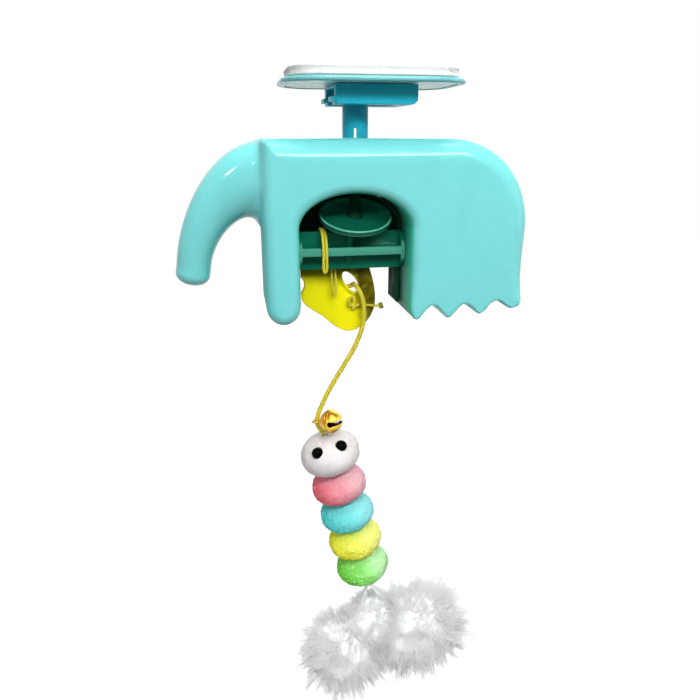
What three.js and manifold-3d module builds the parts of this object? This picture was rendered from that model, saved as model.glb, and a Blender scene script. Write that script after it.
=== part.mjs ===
// A cat toy that hangs under a door frame or a shelf: an adhesive plate with a rail, a post that
// slides in the rail, an elephant-shaped hollow body that turns on the post, and a lure on a cord
// with a bell, a row of foam beads and a fur tail. Millimetres, +Z up, the front towards -Y.
import * as THREE from "three";
import { mergeVertices } from "three/addons/utils/BufferGeometryUtils.js";
import Module from "manifold-3d";

const wasm = await Module();
wasm.setup();

// Clearances
const gap = 0.3;
const overrun = 1;
const mergeDistance = 0.0001;

// Adhesive plate: its top face lies at Z = 0 and its centre is the origin
const plateLength = 61;
const plateDepth = 43;
const plateCorner = 14;
const padThickness = 3.1;
const padInset = 2.4;
const rimHeight = 1.9;
const rimWidth = 2.6;
const panelThickness = 1.6;
const panelRecess = 0.2;

// Rail under the plate, open at its left end
const railLeft = -13.4;
const railRight = 13.6;
const railDepth = 26;
const railHeight = 6.1;
const railStopLength = 5.2;
const slotRoof = 0.9;
const slotHeadHeight = 2.8;
const slotHeadWidth = 18;
const slotNeckWidth = 9.6;
const leadLipLength = 1.3;
const leadLipHeight = 1.5;
const railCornerCut = 1.2;

// Post: a T head in the rail, a split shaft that snaps into the body, and a pin that spreads it
const postX = -4.8;
const postRadius = 4.4;
const postHeadLength = 12;
const postSlitWidth = 0.8;
const postSlitRise = 3.1;
const postSlitTurn = -10.4;
const pinRadius = 1.9;
const pinNeckRadius = 1.3;
const pinNeckLength = 3.6;
const barbOverhang = 0.7;
const barbHeight = 2.4;
const barbLead = 1.4;
const pinBallRadius = 3;

// Body silhouette, measured from the post axis in X and from the pad's top in Z
const bodyTop = -21.5;
const bodyLeft = -33;
const bodyRight = 60;
const bodyDepth = 32;
const wall = 2;
const rumpLength = 28.5;
const rumpDrop = 30;
const rumpTaper = 0.8;
const topLeftCorner = 5;
const archCentre = -2;
const archHalfWidth = 19.3;
const archSpring = -51;
const archRise = 11.9;
const legBottom = -83.4;
const legTipHeight = 6.2;
const toothTip = -83.2;
const toothRise = 2.8;
const toothDepth = 5.2;
const toothCount = 3;
const firstToothInset = 2.2;
const heelLength = 4.2;
const firstToothTip = archCentre + archHalfWidth + firstToothInset;
const lastToothTip = bodyRight - rumpTaper - heelLength;
const toothPitch = (lastToothTip - firstToothTip) / toothCount;
const toothFlank = 5.6;
const toothSharpness = 1.8;
const toothFadeShare = 0.3;
const heelHeight = 3.6;
const cavityFloorLift = 2.4;

// Fillets between the faces and the outline, those of the front leg in proportion to its width
const topFillet = 7.5;
const rumpFillet = 7;
const legWidth = archCentre - archHalfWidth - bodyLeft;
const sideFillet = legWidth * 0.345;
const archFillet = legWidth * 0.293;
const legFillet = legWidth * 0.319;
const toothFillet = 0.8;
const leastFillet = 0.5;
const leastNormalShare = 0.6;

// Trunk: two quarter ellipses bound it, seen from the front
const trunkRoot = -34;
const trunkTop = -22.2;
const trunkOuterReach = 29;
const trunkOuterDrop = 41;
const trunkInnerStart = -36;
const trunkUnderside = -47;
const trunkInnerReach = 16.2;
const trunkInnerDrop = 18.5;
const trunkRootHalfDepth = 11.5;
const trunkTipHalfDepth = 6.4;
const trunkTipCap = 4.6;
const trunkOverlap = 7;
const trunkTaperPower = 0.8;

// Post collar inside the body, and the hole in the arch's ceiling for the pin
const collarRadius = 7.4;
const collarDepth = 2;

// Screws and their bosses: places from the post axis
const screwPlaces = [
  [-26, -31],
  [30, -31.5],
  [46, -62],
];
const screwHeadRadius = 2.5;
const screwHeadHeight = 1.8;
const screwCrownShare = 0.6;
const screwRadius = 1.3;
const screwLength = 14;
const screwTipLength = 2;
const bossRadius = 3.9;
const frontBossRadius = 3;
const counterboreDepth = 9;
const bossEndWall = 2.4;

// Cross bar with a cruciform section, held at its ends by pins in the arch's walls
const barTop = -53.2;
const barBottom = -66.6;
const barWeb = 2.4;
const barFlangeHalfDepth = 6.5;
const barFlangeTop = -58.2;
const barFlangeThickness = 2.8;
const barEndPlate = 1.3;
const barPinRadius = 2.4;
const barGussetX = -2.6;
const barGussetThickness = 1.9;
const barGussetHalfDepth = 5.6;
const barGussetFoot = 1.5;
const barGussetEdge = 1;

// Liner of the arch's back half: a strip along its wall, and a web that closes its top behind the
// disc. It makes way for the bar's end plates and for the pin.
const linerThickness = 1;
const linerBack = 14.4;
const linerWebThickness = 1.2;
const linerWebBottom = -62;
const linerBottom = -77.5;

// Retaining disc, a shallow dish that leans forward: its hub holds the pin's ball end in a socket
// whose two openings are narrower than the ball. Heights are measured from the ball's centre.
const discRadius = 12.9;
const discBallHeight = -49.1;
const discLean = 22;
const discRimTop = 2.2;
const discRimBottom = 0.2;
const discFloorTop = 1.1;
const discFloorBottom = -0.1;
const discLip = 1.1;
const discHubRadius = 5;
const discHubTop = 1.9;
const discHubBottom = -2.2;
const discHubEdge = 0.8;

// Hanging tag: a curved-edged plate behind the bar, with a slanting oval hole
const tagFront = 3.6;
const tagThickness = 2.4;
const tagTop = -61.7;
const tagWidth = 28;
const tagLength = 30;
const tagHoleX = -0.9;
const tagHoleZ = -72.6;
const tagHoleLength = 9.6;
const tagHoleWidth = 4.4;
const tagHoleLean = 36;
const tagHoleRim = 1.1;
const tagHoleRimRise = 0.7;
// Its outline as shares of its width and length from the top left corner: a pair is a corner, and
// six values are a curve's two handles and its end
const tagOutlineShares = [
  [0, 0],
  [0, 0.29],
  [0.06, 0.36, 0.06, 0.42, 0, 0.48],
  [0.01, 0.58],
  [0.07, 0.69, 0.2, 0.73, 0.29, 0.8],
  [0.39, 0.88, 0.5, 1, 0.65, 1],
  [0.81, 1, 1, 0.82, 1, 0.6],
  [1, 0.39, 0.93, 0.24, 0.85, 0],
];

// Cord, its route points from the post axis. Its loops are pulled thin.
const cordDiameter = 1.76;
const loopDiameter = 1.2;
const leafDiameter = 0.9;
const cordSides = 8;
const barLoopRoute = [
  [-12.6, 7.5, -68.3], [-12.6, 7.5, -65.4], [-12.6, 7.5, -61.8], [-12.6, 7.3, -57.4], [-12.6, 4.4, -53.6],
  [-12.6, 0.2, -52.2], [-12.6, -4.2, -53.4], [-12.6, -7.4, -57.2], [-12.6, -7.6, -61.2], [-12.6, -7.5, -65.0],
  [-11.9, -7.5, -66.5], [-11.2, -7.5, -65.0], [-11.2, -7.6, -61.2], [-11.2, -7.4, -57.2], [-11.2, -4.2, -53.4],
  [-11.2, 0.2, -52.2], [-11.2, 4.4, -53.6], [-11.2, 7.3, -57.4], [-11.2, 7.5, -61.8], [-11.2, 7.5, -65.4],
  [-11.2, 7.5, -68.3],
];
const leafLoopRoute = [
  [-8.2, 2.3, -61.5], [-8.2, 2.4, -66.4], [-8.3, 1.9, -69.8], [-8.4, 1.2, -73.2], [-8.2, 0.9, -75.8],
  [-7.6, 0.85, -77.0], [-7.0, 0.9, -75.8], [-6.8, 1.2, -73.2], [-6.9, 1.9, -69.8], [-7.0, 2.4, -66.4],
  [-7.0, 2.3, -61.5],
];
const leadRoute = [
  [-9.9, 8.2, -71.6], [-8.1, 8.1, -73.0], [-5.4, 8.0, -74.9], [-2.2, 8.2, -75.5], [0.3, 8.2, -74.9],
  [0.9, 7.4, -74.2], [1.05, 5.8, -74.1], [1.05, 4.9, -74.1],
];
const mainRoute = [
  [1.05, 4.6, -74.1], [1.05, 3.5, -74.1], [1.5, 1.9, -74.9], [2.6, 0.9, -77.0], [3.4, 0.5, -79.8],
  [3.6, 0.2, -83.4], [3.2, 0.1, -88.1], [2.0, 0, -92.2], [0.2, 0, -96.6], [-3.2, 0, -102.6],
  [-7.2, 0, -109.1], [-10.4, 0, -114.8], [-12.8, 0, -119.9], [-14.4, 0, -123.8], [-14.8, 0, -127.3],
  [-13.6, 0, -130.4], [-12.01, 0, -132.12],
];
const freeEndRoute = [
  [1.9, 2.4, -81.1], [3.4, 2.5, -81.3], [5.6, 2.5, -81.5], [7.4, 2.4, -81.8], [9.0, 2.3, -81.9],
];

// Knots
const hitchKnotPlace = [-12.2, 8.5, -70.7];
const hitchKnotRadius = 2.1;
const frontKnotPlace = [-0.8, 2.3, -80.0];
const frontKnotRadius = 1.25;
const frontKnotLean = 25;
const endKnotPlace = [10.5, 2.2, -81.9];
const endKnotRadius = 1.25;

// Bell: two half shells, a hanging ring and a loose pea
const bellPlace = [-9.9, -4.3, -125.2];
const bellRadius = 4.4;
const bellWall = 0.5;
const bellBand = 0.25;
const bellBandHeight = 0.6;
const bellSlotWidth = 1.5;
const bellHoleRadius = 1.1;
const bellSlotStart = 1.3;
const bellRingRadius = 1.75;
const bellRingWire = 0.35;
const bellPeaRadius = 1.5;
const bellFaces = [0.75, -0.64, 0.2];

// Lure: head and foam beads on one thread, leaning as the toy hangs
const headPlace = [-9.8, 0, -141];
const lureLean = 14;
const headRadius = 12;
const headHalfHeight = 8.7;
const headTopCut = 8.3;
const headBottomCut = 7.6;
const beadRadius = 11.2;
const beadHalfHeight = 8;
const beadPitch = 13.6;
const threadHole = 1.3;
const threadRadius = 0.9;
const beadNames = ["pink", "blue", "yellow", "green"];
const beadColours = [0xe8a0ac, 0x7fdde6, 0xf8f878, 0x9ceb98];
const eyeRadius = 1.9;
const eyeSpread = 4.8;
const eyeHeight = 5.6;
const eyeSink = 0.5;
const tailKnotRadius = 1.8;

// Tail: two fur tufts on short straps, their middles measured from the straps' top
const strapRadius = 1;
const leftTuft = { below: [-11.3, 0, -34.3], half: [17, 15, 18] };
const rightTuft = { below: [21.7, 0, -26.8], half: [23, 15, 19] };
const strapForkSpread = 1.3;

const colours = {
  pad: 0xf1f4f4,
  panel: 0xe9ebea,
  rim: 0xa6f0f0,
  rail: 0x2a8294,
  shell: 0x86dcd8,
  bar: 0x1f7460,
  disc: 0x0c5a48,
  steel: 0xb8bcc0,
  tag: 0xf6ee28,
  cord: 0xdccb48,
  knot: 0x9aa03a,
  gold: 0xe2b23c,
  head: 0xf6f2f2,
  eye: 0x0c0c0e,
  thread: 0xe8e4e0,
  fur: 0xf6f8f8,
};

// A closed three.js geometry as a solid, its faces turned outwards
function solid(geometry) {
  const bare = new THREE.BufferGeometry();
  bare.setAttribute("position", geometry.getAttribute("position").clone());
  if (geometry.index) {
    bare.setIndex(geometry.index.clone());
  }
  const merged = mergeVertices(bare, mergeDistance);
  const index = merged.index.array;
  const kept = [];
  for (let i = 0; i < index.length; i += 3) {
    const [a, b, c] = [index[i], index[i + 1], index[i + 2]];
    if (a !== b && b !== c && c !== a) {
      kept.push(a, b, c);
    }
  }
  const vertProperties = new Float32Array(merged.getAttribute("position").array);
  const build = (tris) => {
    const triVerts = new Uint32Array(tris);
    return new wasm.Manifold(new wasm.Mesh({ numProp: 3, vertProperties, triVerts }));
  };
  const made = build(kept);
  if (made.volume() > 0) {
    return made;
  }
  const turned = [];
  for (let i = 0; i < kept.length; i += 3) {
    turned.push(kept[i], kept[i + 2], kept[i + 1]);
  }
  return build(turned);
}

function geometryOf(body) {
  const mesh = body.getMesh();
  const geometry = new THREE.BufferGeometry();
  const positions = new Float32Array(mesh.numVert * 3);
  for (let i = 0; i < mesh.numVert; i += 1) {
    for (let k = 0; k < 3; k += 1) {
      positions[i * 3 + k] = mesh.vertProperties[i * mesh.numProp + k];
    }
  }
  geometry.setAttribute("position", new THREE.BufferAttribute(positions, 3));
  geometry.setIndex(new THREE.BufferAttribute(new Uint32Array(mesh.triVerts), 1));
  geometry.computeVertexNormals();
  return geometry;
}

function piece(name, body, colour, roughness, metalness) {
  const material = new THREE.MeshStandardMaterial({ color: colour, roughness, metalness });
  const mesh = new THREE.Mesh(geometryOf(body), material);
  mesh.name = name;
  return mesh;
}

function block(x0, x1, y0, y1, z0, z1) {
  const geometry = new THREE.BoxGeometry(x1 - x0, y1 - y0, z1 - z0);
  geometry.translate((x0 + x1) / 2, (y0 + y1) / 2, (z0 + z1) / 2);
  return solid(geometry);
}

// A shape drawn in X and Z, extruded from y0 to y1
function prismY(shape, y0, y1, segments = 12) {
  const depth = y1 - y0;
  const geometry = new THREE.ExtrudeGeometry(shape, { depth, bevelEnabled: false, curveSegments: segments });
  geometry.rotateX(Math.PI / 2);
  geometry.translate(0, y1, 0);
  return solid(geometry);
}

// A shape drawn in X and Y, extruded from z0 to z1
function prismZ(shape, z0, z1, segments = 12) {
  const depth = z1 - z0;
  const geometry = new THREE.ExtrudeGeometry(shape, { depth, bevelEnabled: false, curveSegments: segments });
  geometry.translate(0, 0, z0);
  return solid(geometry);
}

// A shape drawn in Y and Z, extruded from x0 to x1
function prismX(shape, x0, x1) {
  const geometry = new THREE.ExtrudeGeometry(shape, { depth: x1 - x0, bevelEnabled: false });
  geometry.rotateX(Math.PI / 2);
  geometry.rotateZ(Math.PI / 2);
  geometry.translate(x0, 0, 0);
  return solid(geometry);
}

// A profile of [radius, height] points turned about Z
function turned(profile, segments) {
  const points = profile.map(([r, z]) => new THREE.Vector2(r, z));
  const geometry = new THREE.LatheGeometry(points, segments);
  geometry.rotateX(Math.PI / 2);
  return solid(geometry);
}

function rodZ(radius, x, y, z0, z1, segments = 24) {
  return turned([[0, z0], [radius, z0], [radius, z1], [0, z1]], segments).translate([x, y, 0]);
}

function rodAlong(axis, radius, centre, from, to, segments = 16) {
  const body = turned([[0, from], [radius, from], [radius, to], [0, to]], segments);
  const turn = axis === "x" ? [0, 90, 0] : [-90, 0, 0];
  return body.rotate(turn).translate(centre);
}

function roundedRectangle(length, depth, corner) {
  const [x, y] = [length / 2, depth / 2];
  const shape = new THREE.Shape();
  shape.moveTo(-x + corner, -y);
  shape.lineTo(x - corner, -y);
  shape.absarc(x - corner, -y + corner, corner, -Math.PI / 2, 0);
  shape.lineTo(x, y - corner);
  shape.absarc(x - corner, y - corner, corner, 0, Math.PI / 2);
  shape.lineTo(-x + corner, y);
  shape.absarc(-x + corner, y - corner, corner, Math.PI / 2, Math.PI);
  shape.lineTo(-x, -y + corner);
  shape.absarc(-x + corner, -y + corner, corner, Math.PI, Math.PI * 1.5);
  return shape;
}

// A plate with rounded corners, its outline drawn in by inset
function roundedPlate(inset, z0, z1) {
  const [length, depth] = [plateLength - 2 * inset, plateDepth - 2 * inset];
  return prismZ(roundedRectangle(length, depth, plateCorner - inset), z0, z1, 8);
}

// Mesh of rings of equal length, closed by a flat cap at each end
function ringLoft(rings, capTriangles) {
  const count = rings[0].length;
  const positions = rings.flat(2);
  const index = [];
  for (let ring = 0; ring + 1 < rings.length; ring += 1) {
    for (let i = 0; i < count; i += 1) {
      const next = (i + 1) % count;
      const [a, b] = [ring * count + i, ring * count + next];
      index.push(a, b, b + count, a, b + count, a + count);
    }
  }
  const last = (rings.length - 1) * count;
  for (const [a, b, c] of capTriangles) {
    index.push(a, c, b, last + a, last + b, last + c);
  }
  const geometry = new THREE.BufferGeometry();
  geometry.setAttribute("position", new THREE.BufferAttribute(new Float32Array(positions), 3));
  geometry.setIndex(index);
  return solid(geometry);
}

function fanTriangles(count) {
  return Array.from({ length: count - 2 }, (_, i) => [0, i + 1, i + 2]);
}

// Points along a quarter or half ellipse
function ellipseArc(cx, cz, rx, rz, from, to, steps) {
  const points = [];
  for (let i = 0; i <= steps; i += 1) {
    const angle = THREE.MathUtils.degToRad(from + ((to - from) * i) / steps);
    points.push([cx + rx * Math.cos(angle), cz + rz * Math.sin(angle)]);
  }
  return points;
}

function toothLine(x) {
  const share = (x - firstToothTip) / (lastToothTip - firstToothTip);
  const wave = Math.abs(Math.sin((Math.PI * (x - firstToothTip)) / toothPitch)) ** toothSharpness;
  return toothTip + toothRise * share ** 2 + toothDepth * (1 - toothFadeShare * share) * wave;
}

// The body's silhouette, counterclockwise from the front. With an inset it bounds the cavity,
// whose floor over the teeth is flat.
function bodyOutline(inset) {
  const points = [];
  const add = (list, fillet) => list.forEach(([x, z]) => points.push({ x, z, fillet }));
  const [top, left, right] = [bodyTop - inset, bodyLeft + inset, bodyRight - inset];
  const rumpCentreX = bodyRight - rumpLength;
  const rumpCentreZ = bodyTop - rumpDrop;
  const corner = topLeftCorner - inset;
  const legCentre = bodyLeft + legWidth / 2;
  const legHalf = legWidth / 2 - inset;
  const legRound = legBottom + legTipHeight;
  const archWall = archCentre + archHalfWidth + inset;
  add([[rumpCentreX, top], [rumpCentreX / 2, top], [left + 3 * corner, top]], topFillet);
  add(ellipseArc(left + corner, top - corner, corner, corner, 90, 180, 3), sideFillet);
  add([[left, (top + archSpring) / 2], [left, archSpring], [left, (archSpring + legRound) / 2]], sideFillet);
  add(ellipseArc(legCentre, legRound, legHalf, legTipHeight - inset, 180, 360, 10), legFillet);
  add([[legCentre + legHalf, (archSpring + legRound) / 2]], archFillet);
  add(ellipseArc(archCentre, archSpring, archHalfWidth + inset, archRise + inset, 180, 0, 18), archFillet);
  add([[archWall, (archSpring + legRound) / 2]], archFillet);
  if (inset > 0) {
    const floor = toothTip + toothDepth + cavityFloorLift;
    add([[archWall, floor + inset], [archWall + inset, floor], [lastToothTip, floor]], toothFillet);
    add([[right - rumpTaper, floor + inset]], toothFillet);
  } else {
    const flankTop = toothTip + toothFlank;
    const flank = ellipseArc(firstToothTip, flankTop, firstToothInset, toothFlank, 180, 270, 4);
    add(flank.slice(0, -1), toothFillet);
    const steps = toothCount * 8;
    for (let i = 0; i <= steps; i += 1) {
      const x = firstToothTip + ((lastToothTip - firstToothTip) * i) / steps;
      add([[x, toothLine(x)]], toothFillet);
    }
    const heel = toothLine(lastToothTip) + heelHeight;
    add(ellipseArc(lastToothTip, heel, heelLength, heelHeight, 270, 360, 3).slice(1), toothFillet);
  }
  add([[right - rumpTaper / 2, (rumpCentreZ + toothTip) / 2]], rumpFillet);
  add(ellipseArc(rumpCentreX, rumpCentreZ, rumpLength - inset, rumpDrop - inset, 0, 90, 12), rumpFillet);
  points.pop();
  return points;
}

// Evens out the change of fillet from one stretch of the outline to the next
function evenFillets(points, inset) {
  const count = points.length;
  let fillets = points.map((p) => Math.max(p.fillet - inset, leastFillet));
  for (let pass = 0; pass < 3; pass += 1) {
    fillets = fillets.map((r, i) => (fillets[(i + count - 1) % count] + 2 * r + fillets[(i + 1) % count]) / 4);
  }
  return fillets;
}

// Inward unit normals of a counterclockwise outline, lengthened at its corners
function inwardNormals(points) {
  const count = points.length;
  return points.map((p, i) => {
    const before = points[(i + count - 1) % count];
    const after = points[(i + 1) % count];
    const a = new THREE.Vector2(p.x - before.x, p.z - before.z).normalize();
    const b = new THREE.Vector2(after.x - p.x, after.z - p.z).normalize();
    const n = new THREE.Vector2(-a.y - b.y, a.x + b.x).normalize();
    const spread = Math.max(n.dot(new THREE.Vector2(-a.y, a.x)), leastNormalShare);
    return n.divideScalar(spread);
  });
}

// A slab with the given outline whose front and back edges are rounded by each point's fillet
function roundedSlab(inset, halfDepth, layers) {
  const points = bodyOutline(inset);
  const fillets = evenFillets(points, inset);
  const normals = inwardNormals(points);
  const ringAt = (turn, side) =>
    points.map((p, i) => {
      const drawnIn = fillets[i] * (1 - Math.cos(turn));
      const y = side * (halfDepth - fillets[i] * (1 - Math.sin(turn)));
      return [p.x + normals[i].x * drawnIn, y, p.z + normals[i].y * drawnIn];
    });
  const rings = [];
  for (let k = layers; k >= 0; k -= 1) {
    rings.push(ringAt((k / layers) * (Math.PI / 2), -1));
  }
  for (let k = 0; k <= layers; k += 1) {
    rings.push(ringAt((k / layers) * (Math.PI / 2), 1));
  }
  const face = rings[0].map(([x, , z]) => new THREE.Vector2(x, z));
  return ringLoft(rings, THREE.ShapeUtils.triangulateShape(face, []));
}

// The trunk between its outer and inner quarter ellipses, drawn in by inset
function trunk(inset, sides, steps) {
  const rings = [];
  const outerZ = trunkTop - trunkOuterDrop;
  const innerZ = trunkUnderside - trunkInnerDrop;
  const section = (angle, shrink, shift) => {
    const outer = new THREE.Vector2(
      trunkRoot - trunkOuterReach * Math.sin(angle),
      outerZ + trunkOuterDrop * Math.cos(angle),
    );
    const inner = new THREE.Vector2(
      trunkInnerStart - trunkInnerReach * Math.sin(angle),
      innerZ + trunkInnerDrop * Math.cos(angle),
    );
    const centre = outer.clone().add(inner).divideScalar(2);
    const across = outer.clone().sub(inner);
    const halfWidth = (across.length() / 2 - inset) * shrink;
    const share = angle / (Math.PI / 2);
    const depth = THREE.MathUtils.lerp(trunkRootHalfDepth, trunkTipHalfDepth, share ** trunkTaperPower);
    const halfDepth = (depth - inset) * shrink;
    across.normalize();
    const ring = [];
    for (let i = 0; i < sides; i += 1) {
      const turn = (i / sides) * Math.PI * 2;
      const u = Math.cos(turn) * halfWidth;
      const v = Math.sin(turn) * halfDepth;
      ring.push([centre.x + across.x * u + shift[0], v, centre.y + across.y * u + shift[1]]);
    }
    return ring;
  };
  rings.push(section(0, 1, [trunkOverlap + inset, 0]));
  for (let i = 0; i <= steps; i += 1) {
    rings.push(section((i / steps) * (Math.PI / 2), 1, [0, 0]));
  }
  const capSteps = 5;
  for (let i = 1; i <= capSteps; i += 1) {
    const turn = (i / (capSteps + 1)) * (Math.PI / 2);
    const drop = (trunkTipCap - inset) * Math.sin(turn);
    rings.push(section(Math.PI / 2, Math.cos(turn), [0, -drop]));
  }
  return ringLoft(rings, fanTriangles(sides));
}

function buildPlate() {
  const rimTop = -padThickness;
  const rimBottom = rimTop - rimHeight;
  const pad = roundedPlate(padInset, -padThickness, 0);
  const rimOuter = roundedPlate(0, rimBottom, rimTop - gap);
  const rim = rimOuter.subtract(roundedPlate(rimWidth, rimBottom - overrun, rimTop + overrun));
  const panelBottom = rimBottom + panelRecess;
  const panel = roundedPlate(rimWidth + gap, panelBottom, panelBottom + panelThickness - gap);
  return [
    piece("adhesive_pad", pad, colours.pad, 0.6, 0),
    piece("plate_rim", rim, colours.rim, 0.35, 0),
    piece("plate_panel", panel, colours.panel, 0.5, 0),
  ];
}

const panelUnderside = -padThickness - rimHeight + panelRecess;
const railTop = panelUnderside - gap;
const railBottom = railTop - railHeight;
const slotTop = railTop - slotRoof;
const slotLedge = slotTop - slotHeadHeight;

function buildRail() {
  const [half, head, neck] = [railDepth / 2, slotHeadWidth / 2, slotNeckWidth / 2];
  const body = block(railLeft, railRight, -half, half, railBottom, railTop);
  const [open, stop] = [railLeft - leadLipLength - overrun, railRight - railStopLength];
  const headSlot = block(open, stop, -head, head, slotLedge, slotTop);
  const neckSlot = block(open, stop, -neck, neck, railBottom - overrun, slotLedge + overrun);
  const lipTop = slotLedge;
  const lip = block(railLeft - leadLipLength, railLeft + overrun, -half, half, lipTop - leadLipHeight, lipTop);
  const cut = new THREE.Shape();
  cut.moveTo(railRight - railCornerCut, railBottom - overrun);
  cut.lineTo(railRight + overrun, railBottom - overrun);
  cut.lineTo(railRight + overrun, railBottom + railCornerCut);
  cut.lineTo(railRight, railBottom + railCornerCut);
  cut.lineTo(railRight - railCornerCut, railBottom);
  const corner = prismY(cut, -half - overrun, half + overrun);
  const rail = body.add(lip).subtract(headSlot.add(neckSlot)).subtract(corner);
  return piece("rail_housing", rail, colours.rail, 0.35, 0);
}

// The post stands on the post axis: X = 0 in its own group
function buildPost() {
  const shaftTop = slotLedge + gap;
  const collarBottom = bodyTop - wall - collarDepth;
  const barbTop = collarBottom - gap;
  const barbBottom = barbTop - barbHeight;
  const tipBottom = barbBottom - barbLead;
  const barbRadius = postRadius + barbOverhang;
  const shaft = turned([
    [0, tipBottom], [postRadius - barbOverhang, tipBottom], [barbRadius, barbBottom], [barbRadius, barbTop],
    [postRadius, barbTop], [postRadius, shaftTop + overrun], [0, shaftTop + overrun],
  ], 28);
  const headHalf = slotHeadWidth / 2 - gap;
  const head = block(
    -postHeadLength / 2, postHeadLength / 2, -headHalf, headHalf, slotLedge + gap, slotTop - gap,
  );
  const slitTop = bodyTop + postSlitRise;
  const slit = block(
    -postSlitWidth / 2, postSlitWidth / 2, -barbRadius - overrun, barbRadius + overrun,
    tipBottom - overrun, slitTop,
  ).rotate([0, 0, postSlitTurn]);
  const bore = rodZ(pinRadius + gap, 0, 0, tipBottom - overrun, slitTop + overrun, 16);
  const post = head.add(shaft).subtract(slit).subtract(bore);
  return piece("slide_post", post, colours.rail, 0.35, 0);
}

function buildPin() {
  const neckTop = discBallHeight + pinNeckLength;
  const ballEnd = solid(new THREE.SphereGeometry(pinBallRadius, 16, 10)).translate([0, 0, discBallHeight]);
  const neck = rodZ(pinNeckRadius, 0, 0, discBallHeight, neckTop + overrun, 16);
  const pin = rodZ(pinRadius, 0, 0, neckTop, bodyTop - overrun, 16).add(neck).add(ballEnd);
  return piece("locking_pin", pin, colours.disc, 0.4, 0);
}

function bossPair(x, z, halfDepth) {
  const inner = halfDepth - wall;
  const front = rodAlong("y", frontBossRadius, [x, 0, z], -inner - wall / 2, 0);
  const back = rodAlong("y", bossRadius, [x, 0, z], 0, inner + wall / 2);
  return front.add(back);
}

const screwSeat = bodyDepth / 2 - counterboreDepth;

function bossHoles(x, z, halfDepth) {
  const head = rodAlong("y", screwHeadRadius + gap, [x, 0, z], screwSeat - gap, halfDepth + overrun);
  const shank = rodAlong("y", screwRadius + gap, [x, 0, z], -halfDepth + wall + bossEndWall, screwSeat);
  return head.add(shank);
}

function buildShells() {
  const halfDepth = bodyDepth / 2;
  const skin = roundedSlab(0, halfDepth, 4).add(trunk(0, 24, 12));
  const cavity = roundedSlab(wall, halfDepth - wall, 2).add(trunk(wall, 16, 8));
  const collarBottom = bodyTop - wall - collarDepth;
  const collar = rodZ(collarRadius, 0, 0, collarBottom, bodyTop - wall / 2, 24);
  let holes = rodZ(postRadius + gap, 0, 0, collarBottom - overrun, bodyTop + overrun, 28);
  const ceiling = archSpring + archRise;
  holes = holes.add(rodZ(pinRadius + gap, 0, 0, ceiling - overrun, ceiling + wall + overrun, 16));
  const barMiddle = (barTop + barBottom) / 2;
  const pinHoleReach = archHalfWidth + wall + overrun;
  holes = holes.add(
    rodAlong("x", barPinRadius + gap, [archCentre, 0, barMiddle], -pinHoleReach, pinHoleReach),
  );
  let bosses = collar;
  for (const [x, z] of screwPlaces) {
    bosses = bosses.add(bossPair(x, z, halfDepth));
    holes = holes.add(bossHoles(x, z, halfDepth));
  }
  const body = skin.subtract(cavity.subtract(bosses)).subtract(holes);
  const reach = bodyRight * 2;
  const deep = bodyDepth;
  const frontHalf = block(-reach, reach, -deep, -gap / 2, -reach, reach);
  const backHalf = block(-reach, reach, gap / 2, deep, -reach, reach);
  return [
    piece("front_shell", body.intersect(frontHalf), colours.shell, 0.18, 0),
    piece("back_shell", body.intersect(backHalf), colours.shell, 0.18, 0),
  ];
}

function buildScrews() {
  return screwPlaces.map(([x, z], i) => {
    const tip = -screwLength;
    const profile = [
      [0, tip], [screwRadius / 3, tip], [screwRadius, tip + screwTipLength], [screwRadius, 0],
      [screwHeadRadius, 0], [screwHeadRadius, screwHeadHeight / 2],
      [screwHeadRadius * screwCrownShare, screwHeadHeight], [0, screwHeadHeight],
    ];
    const body = turned(profile, 12).rotate([-90, 0, 0]).translate([x, screwSeat, z]);
    return piece(`shell_screw_${i + 1}`, body, colours.steel, 0.3, 1);
  });
}

function buildBar() {
  const left = archCentre - archHalfWidth + gap;
  const right = archCentre + archHalfWidth - gap;
  const middle = (barTop + barBottom) / 2;
  const endRadius = (barTop - barBottom) / 2;
  const flangeBottom = barFlangeTop - barFlangeThickness;
  const web = block(left, right, -barWeb / 2, barWeb / 2, barBottom, barTop);
  const flange = block(left, right, -barFlangeHalfDepth, barFlangeHalfDepth, flangeBottom, barFlangeTop);
  const gussetShape = new THREE.Shape();
  const side = barGussetHalfDepth;
  gussetShape.moveTo(-side, barTop - barGussetEdge);
  gussetShape.lineTo(-barGussetFoot, barBottom + barGussetEdge);
  gussetShape.lineTo(barGussetFoot, barBottom + barGussetEdge);
  gussetShape.lineTo(side, barTop - barGussetEdge);
  const half = barGussetThickness / 2;
  const gusset = prismX(gussetShape, barGussetX - half, barGussetX + half);
  const endLeft = rodAlong("x", endRadius, [left, 0, middle], 0, barEndPlate, 20);
  const endRight = rodAlong("x", endRadius, [right, 0, middle], -barEndPlate, 0, 20);
  const pinLeft = rodAlong("x", barPinRadius, [left, 0, middle], -wall, barEndPlate);
  const pinRight = rodAlong("x", barPinRadius, [right, 0, middle], -barEndPlate, wall);
  const bar = web.add(flange).add(gusset).add(endLeft).add(endRight).add(pinLeft).add(pinRight);
  return piece("cross_bar", bar, colours.bar, 0.35, 0);
}

// The arch's outline from the front, drawn in by inset, down to the height bottom
function archShape(inset, bottom) {
  const [half, rise] = [archHalfWidth - inset, archRise - inset];
  const curve = ellipseArc(archCentre, archSpring, half, rise, 180, 0, 18);
  const points = [[archCentre - half, bottom], ...curve, [archCentre + half, bottom]];
  return new THREE.Shape(points.map(([x, z]) => new THREE.Vector2(x, z)));
}

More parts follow.
